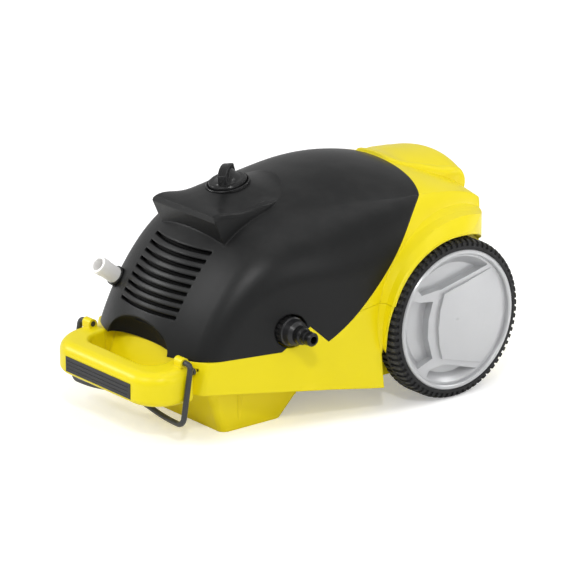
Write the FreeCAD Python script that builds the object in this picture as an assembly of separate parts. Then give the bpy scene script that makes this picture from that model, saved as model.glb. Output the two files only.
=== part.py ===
"""Pressure washer: low wheeled body with a black hood, a lower tub and a front carrying loop.

Everything is modelled from the wheel axle: X to the machine's side, Y to its rear, Z up from the
floor. Each finished piece is then moved so that the middle of the machine's box is the origin.
"""
import FreeCAD, Part
import math
import os

V = FreeCAD.Vector

# ------------------------------------------------------------------ driving dimensions, mm
WHEEL_DIA = 190.0            # over the tread blocks
WHEEL_OUT = 168.0            # outer face of the rim from the mid plane
TYRE_WIDTH = 39.0
TYRE_SECTION = 11.5          # from the rim seat to the tread
AXLE_DIA = 12.0
NOSE_REACH = 392.0           # axle to the front of the carrying loop
TAIL_REACH = 108.0           # axle to the tail of the hood
WALL = 3.0                   # moulded wall of hood, cover and tub
SEAT_GAP = 0.3               # between pieces that move past each other
RUN_FIT = 0.05               # radial running clearance of pins and shafts

# arched body form, swept about a line that runs across the machine
FAN_Y = -68.0
FAN_Z = -4.0
FRONT_RADIUS = 293.0         # arch at the grille
CROWN_RADIUS = 269.0         # arch at the top
REAR_TOP_RADIUS = 277.0
REAR_WALL_Y = 98.0           # rear wall from the axle
FORM_CORE = 30.0             # inner radius of the swept form
SIDE_AT = 100.0              # radius at which the half width is given
SIDE_FRONT = 145.0           # half width there, front
SIDE_TOP = 150.0             # half width there, top and rear
TAPER_FRONT = 0.24           # half width lost per mm of radius
TAPER_TOP = 0.12
BOW_RADIUS = 200.0           # side-to-side bow of the skin, front and middle
TAIL_BOW_RADIUS = 650.0      # nearly flat across the tail
CORNER_FRONT = 42.0          # edge rounding at the grille
CORNER_TOP = 100.0           # edge rounding over the pump
SHOULDER_HALF = 109.0        # crease between the top and the leaning wall
SHOULDER_DEEP = 60.0         # height of the leaning wall below it
TAIL_CORNER = 90.0           # rear corner in plan
TAIL_CORNER_X = 58.0
TAIL_CORNER_Y = 7.0
CORNER_REAR = 20.0           # edge rounding down the rear wall
CORNER_TUB = 10.0            # front corners of the tub

# heights
SEAM_Z = 93.0                # tub to cover
SPLIT_Z = 132.0              # tub to hood at the wheel
DECK_Z = 93.0                # top of the carrying loop
TUB_NOSE_Z = 58.0            # underside of the tub at the front
TUB_MID_Z = 40.0
TUB_TAIL_Z = 32.0
MID_Y = -165.0               # where the underside bends

# wheel arch
WELL_GAP = 6.0               # tread to the wall of the wheel well
WELL_IN = 123.0              # inner wall of the wheel well
FLARE_OUT = 169.0
FLARE_FADE_X = 154.0         # where it meets the tub's lower edge
FLARE_PLAN_RADIUS = 74.0
FLARE_PLAN_X = 94.0
FLARE_PLAN_Y = 0.5
FLARE_RINGS = [(60, 22, 84, 136), (108, 22, 84, 135), (138, 20, 84, 130), (154, 19, 93, 121),
               (165, 3, 95, 106.5), (FLARE_OUT, 0, 95, 102)]   # x, centre y, z, radius

# tail hump
HUMP_HALF = 66.0
HUMP_TIP_HALF = 24.0         # where it leaves the seam
HUMP_TOP_Z = 257.0           # over the axle
HUMP_FALL = 0.0875           # drop per mm toward the tail
HUMP_SWELL = 0.55             # how far the tail wall bulges past its section planes

# switch pod
POD_HALF = 59.0
POD_NOSE_Y = -268.0
POD_NOSE_Z = 243.5
POD_SLOPE = 0.27
POD_SEAT_Y = -204.6
POD_TAIL_Y = -142.0
POD_CROWN = 112.0            # side-to-side bow of the pod top
POD_UNDERCUT = 12.0

POD_TAIL_FALL = 16.0         # how far the pod's tail drops back to the crown
POD_FOOT_Z = 190.0

# tail hump underside
HUMP_UNDER_Z = 205.0

# parting lines in side view
SEAM_POINTS = [(-168, 97), (-145, 112.5), (-117, 135.5), (-91, 159), (-58.5, 193.5), (-23.5, 225.5),
               (-2, 240.5), (7, 250.5), (9, 264)]
SPLIT_FRONT_Z = 126.0
SPLIT_Y = -87.0              # split runs level behind this
TONGUE_POINTS = [(-225, 93), (-190, 118)]
TUB_BEND_Y = -103.0
SLOPE_LOW_Z = 50.0           # foot of the sloped face behind the hand gap

# screw posts (x, y) of cover and hood, each on both sides
COVER_POSTS = [(97, -262), (-97, -262), (95, -176), (-95, -176)]
HOOD_POSTS = [(100, 20), (-100, 20), (100, 62), (-100, 62)]
POST_RADIUS = 5.0
FLANGE_SHIFT = 2.2           # 3 mm measured square to the sloping seam
FLANGE_RISE = 8.0
SCREW_DIA = 4.0

# grille
SLOTS = 9
SLOT_HALF = 52.0
SLOT_HEIGHT = 3.8
SLOT_LOW_Z = 133.5
SLOT_HIGH_Z = 200.0
SCOOP_HALF = 56.0
SCOOP_RISE = 30.0
SCOOP_BACK_Y = -316.0

# switch knob
KNOB_DIA = 46.0
KNOB_SKIRT = 7.0
KNOB_TILT = 13.0             # degrees forward
PADDLE_LENGTH = 38.0
PADDLE_THICK = 11.5
PADDLE_RISE = 21.0
PADDLE_TURN = 37.5           # degrees from straight ahead, switched off
SEAT_RING_DIA = 52.0
SEAT_RING_WALL = 2.4
SEAT_SINK = 4.0              # seat pocket below the pod crown
SHAFT_HOLE = 9.0
STEM_DIA = 8.0

# water inlet on the right-hand side
INLET_Y = -213.0
INLET_Z = 116.0
RECESS_GAP = 2.5             # union nut to the wall of its recess
RECESS_FLOOR = 108.0         # x of the recess floor
NUT_DIA = 34.0
NIPPLE_DIA = 16.0
NIPPLE_TIP = 167.0
NIPPLE_BORE = 9.0
STUB_DIA = 22.0

# high-pressure outlet
OUTLET_X = -85.0
OUTLET_Y = -299.0
OUTLET_Z = 143.5
OUTLET_RISE = 37.0           # degrees above level
SLEEVE_DIA = 20.0
SLEEVE_BORE = 15.0
SLEEVE_PROUD = 36.0

# carrying loop
LOOP_HALF = 101.0
LOOP_DEPTH = 26.0            # front bar, front to back
DECK_NOSE_Z = 86.0
LOOP_UNDER_Z = 50.0
LOOP_CORNER = 40.0
LOOP_BACK_Y = -333.0
GRIP_HALF = 61.5
GRIP_LOW_Z = 56.0
GRIP_HIGH_Z = 74.0
GRIP_DEPTH = 3.0
HAND_HALF = 65.0

# hose bail
BAIL_DIA = 6.6
BAIL_HALF = 105.0
BAIL_DROP = 70.0
BAIL_BEND = 9.0
BAIL_PIVOT_Y = -339.0
BAIL_PIVOT_Z = 96.5
BAIL_BOW = 8.0               # rise of the crossbar in the middle
BAIL_LEAN = 9.5              # degrees forward at rest

# front foot
FOOT_HALF = 92.0
FOOT_TOE_Y = -285.0
FOOT_HEEL_Y = -198.0
FOOT_LEAN = 22.0
FOOT_HEEL_RUN = 30.0

# motor and pump, on one line
DRIVE_Z = 136.0
MOTOR_DIA = 118.0
MOTOR_BACK_Y = -32.0
STACK_LENGTH = 78.0
SHAFT_DIA = 14.0
PUMP_DIA = 88.0
FAN_DIA = 96.0
FAN_BLADES = 9
STATOR_BORE = 58.0
AIR_GAP = 0.6
HEAD_FRONT_Y = -225.0
OIL_CASE_Y = -155.0
BLOCK_Y = -183.0
HEAD_Y = -203.0

# wheel
RIM_EDGE = 5.5               # rim seat to the inside of the rim lip
TREAD_DEPTH = 3.2
TREAD_BLOCKS = 30            # in each of two rows
HUB_DIA = 34.0
FACE_BACK = 150.0            # x of the back of the wheel's face
FACE_FRONT = 163.0
FACE_SKIN = 3.0

# fixings and small parts
SCREW_HEAD = 8.0
SCREW_SEAT_Z = 70.0          # height of the screw heads inside their shafts
BEARING_IN = 96.0            # inner end of the axle block
BEARING_HALF = 14.0
CRADLE_Y = [-135, -58]
PUMP_CRADLE_Y = [-172]
LOOP_SCREWS = [(75, 67), (94, 84), (-75, 67), (-94, 84)]
LOOP_LOW_ROUND = 8.0
LOOP_TOP_ROUND = 14.0
ARM_WIDE = 36.0
GAP_CORNER = 20.0
GRIP_PROUD = 1.0
GRIP_RIBS = 3
PIN_IN = 80.0                # inner end of the bail's pins
KNUCKLE_LONG = 14.0
BAIL_TOP_BEND = 6.0
STEM_LONG = 24.0
NUT_BACK = 112.0             # x of the nut's inner face
NUT_FLUTES = 18
NUT_LENGTH = 30.0
NUT_BAND = 17.0              # knurled part of its length
FLANGE_FROM = 12.0           # nipple flange, from the nut's inner face
FLANGE_THICK = 1.6
HEAD_BOSS_X = 50.0
SLEEVE_BACK = -22.0
BORE_DEPTH = 28.0
PIPE_Y = -214.0
PIPE_Z = 125.0
BEARING_DIA = 35.0
BOLT_CIRCLE = 30.0
CAPACITOR_Y = 45.0
CAPACITOR_Z = 150.0
GLAND_X = 50.0
GLAND_Z = 70.0
GLAND_DIA = 16.0
GLAND_TIP = REAR_WALL_Y + 9.0
GLAND_BACK = GLAND_TIP - 30.0

AXLE_Z = WHEEL_DIA / 2
RIM_DIA = WHEEL_DIA - 2 * TYRE_SECTION
RIM_LIP = RIM_DIA / 2 - RIM_EDGE
WELL_RADIUS = WHEEL_DIA / 2 + WELL_GAP
RECESS_DIA = NUT_DIA + 2 * RECESS_GAP
STACK_Y = MOTOR_BACK_Y - 12 - 10.5 - STACK_LENGTH   # front end of the stator stack
AXLE_Y = (NOSE_REACH - TAIL_REACH) / 2
TYRE_IN = WHEEL_OUT - TYRE_WIDTH
FAR = 400.0


# ------------------------------------------------------------------ small helpers
def smooth(t):
    """Eased step from 0 to 1."""
    t = max(0.0, min(1.0, t))
    return t * t * (3 - 2 * t)


def mix(a, b, t):
    return a + (b - a) * t


def box(x0, x1, y0, y1, z0, z1):
    return Part.makeBox(x1 - x0, y1 - y0, z1 - z0, V(x0, y0, z0))


def rod(x, y, z, direction, radius, length):
    return Part.makeCylinder(radius, length, V(x, y, z), V(*direction))


def tube(x, y, z, direction, radius, bore, length):
    outer = rod(x, y, z, direction, radius, length)
    return outer.cut(rod(x, y, z, direction, bore, length))


def mirrored(shape):
    return shape.mirror(V(0, 0, 0), V(1, 0, 0))


def both_sides(shape):
    return Part.makeCompound([shape, mirrored(shape)])


def polygon_prism(points, x0, x1):
    """Solid between x0 and x1 with the outline (y, z) points."""
    wire = Part.makePolygon([V(x0, y, z) for y, z in points + points[:1]])
    return Part.Face(wire).extrude(V(x1 - x0, 0, 0))


def plan_prism(points, z0, z1):
    wire = Part.makePolygon([V(x, y, z0) for x, y in points + points[:1]])
    return Part.Face(wire).extrude(V(0, 0, z1 - z0))


def lathe(profile, origin, direction, angle=360.0):
    """Solid turned from (distance along, radius) points about a line from origin."""
    axis = V(*direction).normalize()
    side = V(0, 0, 1)
    if abs(axis.z) > 0.9:
        side = V(0, 1, 0)
    across = axis.cross(side).normalize()
    start = V(*origin)
    points = [start + axis * along + across * radius for along, radius in profile]
    wire = Part.makePolygon(points + points[:1])
    return Part.Face(wire).revolve(start, axis, angle)


def rounded(shape, radius, chooser):
    """Fillet of the edges that chooser picks."""
    edges = [edge for edge in shape.Edges if chooser(edge)]
    return shape.makeFillet(radius, edges)


# ------------------------------------------------------------------ arched body form
def crown_radius(phi):
    """Radius of the arch before the rear wall cuts it off."""
    over_front = mix(CROWN_RADIUS, FRONT_RADIUS, smooth((phi - 100) / 34))
    return mix(REAR_TOP_RADIUS, over_front, smooth((phi - 50) / 24))


def mix_pair(a, b, share):
    return (mix(a[0], b[0], share), mix(a[1], b[1], share))


def arch_radius(phi):
    """Radius of the arch at phi degrees above the rearward direction."""
    top = crown_radius(phi)
    lean = math.cos(math.radians(phi))
    if lean < 0.05:
        return top
    wall = (REAR_WALL_Y - FAN_Y) / lean
    sharp = 24
    return (top ** -sharp + wall ** -sharp) ** (-1 / sharp)


def arch_section(phi, inset, front_corner=CORNER_FRONT):
    """Closed outline of the body in the fan plane at phi, inset by a wall thickness."""
    toward_top = smooth((152 - phi) / 44)
    toward_rear = smooth((56 - phi) / 10)
    toward_shoulder = smooth((112 - phi) / 34) * (1 - toward_rear)
    radius = arch_radius(phi) - inset
    bend = mix(1 / TAIL_BOW_RADIUS, 1 / BOW_RADIUS, smooth((phi - 52) / 40))
    bow = 1 / bend - inset
    corner = mix(mix(front_corner, CORNER_TOP, toward_top), CORNER_REAR, toward_rear) - inset
    corner = max(corner, 2.0)
    half = mix(SIDE_FRONT, SIDE_TOP, toward_top) - inset
    taper = mix(TAPER_FRONT, TAPER_TOP, toward_top)
    core = FORM_CORE - inset

    def side_x(rho):
        return half - taper * (rho - SIDE_AT)

    # corner circle: touches the bow circle from inside and the tapered side line
    slant = math.hypot(1, taper)
    bow_mid = radius - bow
    reach = bow - corner
    low, high = radius - bow, radius
    for _ in range(60):
        rho = (low + high) / 2
        centre = side_x(rho) - corner * slant
        if math.hypot(centre, rho - bow_mid) > reach:
            high = rho
        else:
            low = rho
    centre_x = side_x(rho) - corner * slant
    touch_side = (centre_x + corner / slant, rho + corner * taper / slant)
    scale = bow / reach
    touch_bow = (centre_x * scale, bow_mid + (rho - bow_mid) * scale)
    mid = ((touch_side[0] + touch_bow[0]) / 2 - centre_x, (touch_side[1] + touch_bow[1]) / 2 - rho)
    stretch = corner / math.hypot(*mid)
    corner_mid = (centre_x + mid[0] * stretch, rho + mid[1] * stretch)

    # shoulder: the wall leans in to a crease on the bow
    crease_x = SHOULDER_HALF - inset
    crease = (crease_x, bow_mid + math.sqrt(bow * bow - crease_x * crease_x))
    waist_at = crease[1] - SHOULDER_DEEP
    waist = (side_x(waist_at), waist_at)
    rise = (crease[0] - waist[0], crease[1] - waist[1])
    turn = math.atan2(-rise[0], rise[1]) - math.atan(taper)
    bulge = math.tan(turn / 2) / 2
    belly = ((waist[0] + crease[0]) / 2 + rise[1] * bulge, (waist[1] + crease[1]) / 2 - rise[0] * bulge)
    touch_side = mix_pair(touch_side, waist, toward_shoulder)
    corner_mid = mix_pair(corner_mid, belly, toward_shoulder)
    touch_bow = mix_pair(touch_bow, crease, toward_shoulder)

    tilt = math.radians(phi)
    outward = V(0, math.cos(tilt), math.sin(tilt))
    axis = V(0, FAN_Y, FAN_Z)

    def at(x, rho):
        return axis + outward * rho + V(x, 0, 0)

    base_x = side_x(core)
    edges = [
        Part.LineSegment(at(-base_x, core), at(base_x, core)),
        Part.LineSegment(at(base_x, core), at(*touch_side)),
        Part.Arc(at(*touch_side), at(*corner_mid), at(*touch_bow)),
        Part.Arc(at(*touch_bow), at(0, radius), at(-touch_bow[0], touch_bow[1])),
        Part.Arc(at(-touch_bow[0], touch_bow[1]), at(-corner_mid[0], corner_mid[1]),
                 at(-touch_side[0], touch_side[1])),
        Part.LineSegment(at(-touch_side[0], touch_side[1]), at(-base_x, core)),
    ]
    return Part.Wire([edge.toShape() for edge in edges])


def arch_form(inset, front_corner=CORNER_FRONT):
    angles = [190, 176, 164, 152, 140, 128, 116, 104, 93, 83, 74, 66, 60, 55, 51, 46, 39, 30, 20, 8]
    form = Part.makeLoft([arch_section(phi, inset, front_corner) for phi in angles], True, False)
    return form.common(tail_plan(inset))


def tail_plan(inset):
    """Plan of the machine with its two rear corners rounded off."""
    keep = TAIL_CORNER - inset
    plan = box(-FAR, FAR, -FAR, TAIL_CORNER_Y, -FAR, FAR)
    plan = plan.fuse(box(-TAIL_CORNER_X, TAIL_CORNER_X, TAIL_CORNER_Y, FAR, -FAR, FAR))
    for x in (-TAIL_CORNER_X, TAIL_CORNER_X):
        plan = plan.fuse(rod(x, TAIL_CORNER_Y, -FAR, (0, 0, 1), keep, 2 * FAR))
    return plan


def flare_ring(inset):
    """Eyebrow over one wheel: rings that widen inward, trimmed to the rear corner's plan."""
    wires = []
    for x, y, z, radius in FLARE_RINGS:
        ring = Part.makeCircle(radius - inset, V(x - inset, y, z), V(1, 0, 0))
        wires.append(Part.Wire(ring))
    turned = Part.makeLoft(wires, True, True)
    keep = FLARE_PLAN_RADIUS - inset
    plan = rod(FLARE_PLAN_X, FLARE_PLAN_Y, 0, (0, 0, 1), keep, FAR)
    plan = plan.fuse(box(40, FLARE_PLAN_X, -FAR, FLARE_PLAN_Y + keep, 0, FAR))
    plan = plan.fuse(box(FLARE_PLAN_X, FLARE_PLAN_X + keep, -FAR, FLARE_PLAN_Y, 0, FAR))
    return turned.common(plan)


def low_flare(inset):
    """Front end of the eyebrow below the split: it fades into the tub's side."""
    ring = flare_ring(inset)
    fade = [(60, TUB_TAIL_Z), (FLARE_FADE_X - inset, TUB_TAIL_Z), (FLARE_OUT - inset, SPLIT_Z + 20),
            (60, SPLIT_Z + 20)]
    wire = Part.makePolygon([V(x, -FAR, z) for x, z in fade + fade[:1]])
    limit = Part.Face(wire).extrude(V(0, FAR + FLARE_PLAN_Y, 0))
    return ring.common(limit)


def hump_section(phi, inset):
    """Outline of the raised tail in the fan plane at phi."""
    half = mix(HUMP_HALF, HUMP_TIP_HALF, smooth((phi - 58) / 20)) - inset
    tilt = math.radians(phi)
    top = (HUMP_TOP_Z - FAN_Z - HUMP_FALL * FAN_Y) / (math.sin(tilt) + HUMP_FALL * math.cos(tilt))
    wall = (TAIL_REACH - HUMP_SWELL - FAN_Y) / math.cos(tilt)
    sharp = 30
    radius = (top ** -sharp + wall ** -sharp) ** (-1 / sharp) - inset
    corner = mix(10, 4, smooth((phi - 62) / 16)) - inset / 2
    sag = half * half / (2 * BOW_RADIUS)
    outward = V(0, math.cos(tilt), math.sin(tilt))
    axis = V(0, FAN_Y, FAN_Z)

    def at(x, rho):
        return axis + outward * rho + V(x, 0, 0)

    foot = radius - 60
    edge = radius - sag
    knee = corner * 0.29
    edges = [
        Part.LineSegment(at(-half, foot), at(half, foot)),
        Part.LineSegment(at(half, foot), at(half, edge - corner)),
        Part.Arc(at(half, edge - corner), at(half - knee, edge - knee), at(half - corner, edge)),
        Part.Arc(at(half - corner, edge), at(0, radius), at(corner - half, edge)),
        Part.Arc(at(corner - half, edge), at(knee - half, edge - knee), at(-half, edge - corner)),
        Part.LineSegment(at(-half, edge - corner), at(-half, foot)),
    ]
    return Part.Wire([part.toShape() for part in edges])


def hump_form(inset):
    angles = [80, 75, 70, 66, 62, 59, 57, 55, 53, 50, 47]
    hump = Part.makeLoft([hump_section(phi, inset) for phi in angles], True, False)
    return hump.cut(box(-FAR, FAR, -FAR, FAR, 0, HUMP_UNDER_Z + inset))


def pod_section(y, inset):
    """Outline of the switch pod across the machine at y."""
    back = smooth((y - POD_NOSE_Y) / (POD_SEAT_Y - POD_NOSE_Y))
    fall = smooth((y - POD_SEAT_Y) / (POD_TAIL_Y - POD_SEAT_Y))
    top = POD_NOSE_Z + POD_SLOPE * (y - POD_NOSE_Y) - POD_TAIL_FALL * fall - inset
    half = POD_HALF - inset
    sag = back * half * half / (2 * POD_CROWN) + 0.6
    corner = 7.0 - inset / 2
    knee = corner * 0.29
    edge = top - sag

    def at(x, z):
        return V(x, y, z)

    edges = [
        Part.LineSegment(at(-half, POD_FOOT_Z), at(half, POD_FOOT_Z)),
        Part.LineSegment(at(half, POD_FOOT_Z), at(half, edge - corner)),
        Part.Arc(at(half, edge - corner), at(half - knee, edge - knee), at(half - corner, edge)),
        Part.Arc(at(half - corner, edge), at(0, top), at(corner - half, edge)),
        Part.Arc(at(corner - half, edge), at(knee - half, edge - knee), at(-half, edge - corner)),
        Part.LineSegment(at(-half, edge - corner), at(-half, POD_FOOT_Z)),
    ]
    return Part.Wire([part.toShape() for part in edges])


def pod_form(inset):
    """Raised switch pod: crowned top, round tail, undercut visor at the front."""
    steps = [POD_NOSE_Y + inset, -245, -222, -200, -178, -158, POD_TAIL_Y - inset]
    block = Part.makeLoft([pod_section(y, inset) for y in steps], True, False)
    half = POD_HALF - inset
    plan = box(-half, half, POD_NOSE_Y + inset, POD_TAIL_Y - POD_HALF, 0, FAR)
    plan = plan.fuse(rod(0, POD_TAIL_Y - POD_HALF, 0, (0, 0, 1), half, FAR))
    block = block.common(plan)
    visor = [(POD_NOSE_Y - 5, POD_NOSE_Z - 7), (POD_NOSE_Y + inset, POD_NOSE_Z - 7 - inset),
             (POD_NOSE_Y + POD_UNDERCUT + inset, POD_NOSE_Z - 33), (POD_NOSE_Y + 14 + inset, 0),
             (POD_NOSE_Y - 5, 0)]
    return block.cut(polygon_prism(visor, -FAR, FAR))


# ------------------------------------------------------------------ parting lines, side view
def seam_curve():
    """Rear edge of the cover from its lower tip up over the top."""
    spline = Part.BSplineCurve()
    spline.interpolate([V(0, y, z) for y, z in SEAM_POINTS])
    return spline


def zone(edges):
    """Prism across the whole machine with the given closed side-view outline."""
    wire = Part.Wire(edges)
    face = Part.Face(wire)
    slab = face.extrude(V(2 * FAR, 0, 0))
    slab.translate(V(-FAR, 0, 0))
    return slab


def polyline(points):
    return [Part.LineSegment(V(0, *a), V(0, *b)).toShape() for a, b in zip(points, points[1:])]


def seam_parts():
    """Seam below and above the point where tub, hood and cover meet."""
    seam = seam_curve()
    level = Part.Plane(V(0, 0, SPLIT_FRONT_Z), V(0, 0, 1))
    touch = seam.intersect(level)[0][0]
    meet = seam.parameter(V(0, touch.Y, touch.Z))
    lower = seam.toShape(seam.FirstParameter, meet)
    upper = seam.toShape(meet, seam.LastParameter)
    return lower, upper, (touch.Y, touch.Z)


def cover_zone():
    top = SEAM_POINTS[-1]
    around = [top, (top[0], FAR), (-FAR - 50, FAR), (-FAR - 50, SEAM_Z), TONGUE_POINTS[0],
              SEAM_POINTS[0]]
    return zone([seam_curve().toShape()] + polyline(around))


def hood_zone():
    upper, meet = seam_parts()[1:]
    top = SEAM_POINTS[-1]
    around = [top, (top[0], FAR), (FAR, FAR), (FAR, SPLIT_Z), (SPLIT_Y, SPLIT_Z), meet]
    return zone([upper] + polyline(around))


def tub_zone(floor):
    lower, _, meet = seam_parts()
    around = [meet, (SPLIT_Y, SPLIT_Z), (FAR, SPLIT_Z), (FAR, TUB_TAIL_Z + floor),
              (TUB_BEND_Y, TUB_TAIL_Z + floor), (MID_Y, TUB_MID_Z + floor),
              (LOOP_BACK_Y, TUB_NOSE_Z + floor), (-FAR - 50, TUB_NOSE_Z + floor),
              (-FAR - 50, SEAM_Z), TONGUE_POINTS[0], SEAM_POINTS[0]]
    return zone([lower] + polyline(around))


def tongue():
    """Corner of the tub that rises beside the water inlet."""
    return polygon_prism(TONGUE_POINTS + [SEAM_POINTS[0]], 60, FAR)


def wheel_wells(grow):
    """Space for both wheels: round above the axle, straight walls below it."""
    reach = WELL_RADIUS + grow
    well = rod(WELL_IN - grow, 0, AXLE_Z, (1, 0, 0), reach, FAR)
    well = well.fuse(box(WELL_IN - grow, FAR, -reach, reach, -1, AXLE_Z))
    return well.fuse(mirrored(well))


def inlet_recess(grow):
    return rod(RECESS_FLOOR - grow, INLET_Y, INLET_Z, (1, 0, 0), RECESS_DIA / 2 + grow, FAR)


def outlet_line(start, length, radius):
    """Cylinder on the high-pressure outlet's line; start is measured from the body surface."""
    rise = math.radians(OUTLET_RISE)
    along = V(0, -math.cos(rise), math.sin(rise))
    point = V(OUTLET_X, OUTLET_Y, OUTLET_Z) + along * start
    return Part.makeCylinder(radius, length, point, along)


def posts(places, bottom, top, radius):
    return [rod(x, y, bottom, (0, 0, 1), radius, top - bottom) for x, y in places]


# ------------------------------------------------------------------ housings
def front_cover():
    outer = arch_form(0).fuse(pod_form(0)).common(cover_zone())
    inner = arch_form(WALL).fuse(pod_form(WALL))
    inner = inner.common(box(-FAR, FAR, -FAR - 50, FAR, SEAM_Z - 1, FAR))
    scoop = Part.Face(Part.Wire(Part.Ellipse(
        V(0, 0, 0), SCOOP_HALF, SCOOP_RISE).toShape()))
    scoop.rotate(V(0, 0, 0), V(1, 0, 0), 90)
    scoop.translate(V(0, SCOOP_BACK_Y, SEAM_Z))
    scoop = scoop.extrude(V(0, -FAR, 0))
    liner = Part.Face(Part.Wire(Part.Ellipse(
        V(0, 0, 0), SCOOP_HALF + WALL, SCOOP_RISE + WALL).toShape()))
    liner.rotate(V(0, 0, 0), V(1, 0, 0), 90)
    liner.translate(V(0, SCOOP_BACK_Y + WALL, SEAM_Z))
    liner = liner.extrude(V(0, -FAR, 0))
    outer = outer.cut(scoop)
    inner = inner.cut(liner)
    outer = outer.cut(inlet_recess(0)).cut(tongue())
    inner = inner.cut(inlet_recess(WALL))
    shell = outer.cut(inner)
    ceiling = arch_form(WALL / 2).common(cover_zone())
    for post in posts(COVER_POSTS, SEAM_Z, FAR, POST_RADIUS):
        shell = shell.fuse(post.common(ceiling))
    for post in posts(COVER_POSTS, SEAM_Z - 1, SEAM_Z + 22, SCREW_DIA / 2):
        shell = shell.cut(post)
    pitch = (SLOT_HIGH_Z - SLOT_LOW_Z) / (SLOTS - 1)
    cuts = []
    for index in range(SLOTS):
        cuts.append(slot(SLOT_LOW_Z + pitch * index))
    shell = shell.cut(Part.makeCompound(cuts))
    shell = shell.cut(knob_line(-30, 40, SHAFT_HOLE / 2))
    shell = shell.cut(knob_line(-SEAT_SINK, 40, SEAT_RING_DIA / 2))
    shell = shell.cut(outlet_line(-30, 60, SLEEVE_DIA / 2 + 2))
    shell = shell.cut(rod(RECESS_FLOOR - 2 * WALL, INLET_Y, INLET_Z, (1, 0, 0),
                          STUB_DIA / 2 + SEAT_GAP, 3 * WALL))
    return shell


def slot(z):
    half = SLOT_HEIGHT / 2
    end = SLOT_HALF - half
    reach = 180
    cut = box(-end, end, -FAR, -FAR + reach, z - half, z + half)
    for x in (-end, end):
        cut = cut.fuse(rod(x, -FAR, z, (0, 1, 0), half, reach))
    return cut


def knob_line(start, length, radius):
    """Cylinder on the switch's line; start is measured up from the pod top."""
    tilt = math.radians(KNOB_TILT)
    along = V(0, -math.sin(tilt), math.cos(tilt))
    seat = V(0, POD_SEAT_Y, POD_NOSE_Z + POD_SLOPE * (POD_SEAT_Y - POD_NOSE_Y))
    return Part.makeCylinder(radius, length, seat + along * start, along)


def rear_hood():
    flares = flare_ring(0)
    outer = arch_form(0).fuse([hump_form(0), flares, mirrored(flares)])
    outer = outer.common(hood_zone()).cut(wheel_wells(0))
    hollows = flare_ring(WALL)
    inner = arch_form(WALL).fuse([hump_form(WALL), hollows, mirrored(hollows)])
    inner = inner.cut(wheel_wells(WALL))
    shell = outer.cut(inner)
    behind = hood_zone()
    behind.translate(V(0, FLANGE_SHIFT, -FLANGE_SHIFT))
    flange = outer.cut(behind).cut(arch_form(WALL + FLANGE_RISE))
    shell = shell.fuse(flange)
    ceiling = arch_form(WALL / 2).common(hood_zone())
    for post in posts(HOOD_POSTS, SPLIT_Z, FAR, POST_RADIUS):
        shell = shell.fuse(post.common(ceiling))
    for post in posts(HOOD_POSTS, SPLIT_Z - 1, SPLIT_Z + 22, SCREW_DIA / 2):
        shell = shell.cut(post)
    return shell


def foot_block(inset):
    """Wedge-shaped stand under the front of the tub."""
    low = FOOT_HALF - inset
    high = low + 5
    bottom = 0 if inset == 0 else inset
    top = TUB_NOSE_Z + 8
    rise = top / TUB_NOSE_Z
    sole = [(-low, FOOT_TOE_Y + inset), (low, FOOT_TOE_Y + inset),
            (low, FOOT_HEEL_Y - inset), (-low, FOOT_HEEL_Y - inset)]
    roof = [(-high, FOOT_TOE_Y + inset - FOOT_LEAN * rise),
            (high, FOOT_TOE_Y + inset - FOOT_LEAN * rise),
            (high, FOOT_HEEL_Y - inset + FOOT_HEEL_RUN * 2),
            (-high, FOOT_HEEL_Y - inset + FOOT_HEEL_RUN * 2)]
    wires = [Part.makePolygon([V(x, y, bottom) for x, y in sole + sole[:1]]),
             Part.makePolygon([V(x, y, top) for x, y in roof + roof[:1]])]
    block = Part.makeLoft(wires, True, True)
    if inset:
        return block
    corners = [edge for edge in block.Edges
               if abs(edge.Vertexes[0].Z - edge.Vertexes[1].Z) > 10]
    return block.makeFillet(9.0, corners)


def tub_shell(inset):
    """Tub form with its foot: the outside, or the cavity that leaves the walls."""
    corner = CORNER_TUB if inset == 0 else CORNER_FRONT
    form = arch_form(inset, corner)
    front = LOOP_BACK_Y + inset
    form = form.common(box(-FAR, FAR, front, FAR, 0, FAR))
    slope = polygon_prism([(front - 5, SLOPE_LOW_Z), (front, SLOPE_LOW_Z),
                           (SCOOP_BACK_Y + inset, SEAM_Z + 0.1), (SCOOP_BACK_Y + inset, FAR),
                           (front - 5, FAR)], -HAND_HALF - inset, HAND_HALF + inset)
    if inset:
        cavity = tub_zone(inset).fuse(tongue())
        brow = low_flare(inset)
        form = form.fuse([brow, mirrored(brow)])
        form = form.cut(slope).common(cavity).cut(inlet_recess(inset))
        foot = foot_block(inset).common(box(-FAR, FAR, front, FAR, 0, SEAM_Z - 20))
        return form.fuse(foot).cut(wheel_wells(inset))
    brow = low_flare(0)
    form = form.fuse([brow, mirrored(brow)])
    form = form.cut(slope).common(tub_zone(0))
    raised = arch_form(0).common(tongue())
    form = form.fuse(raised).cut(inlet_recess(0))
    foot = foot_block(0).common(box(-FAR, FAR, front, FAR, 0, SEAM_Z - 20))
    return form.fuse(foot).cut(wheel_wells(0))


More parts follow.
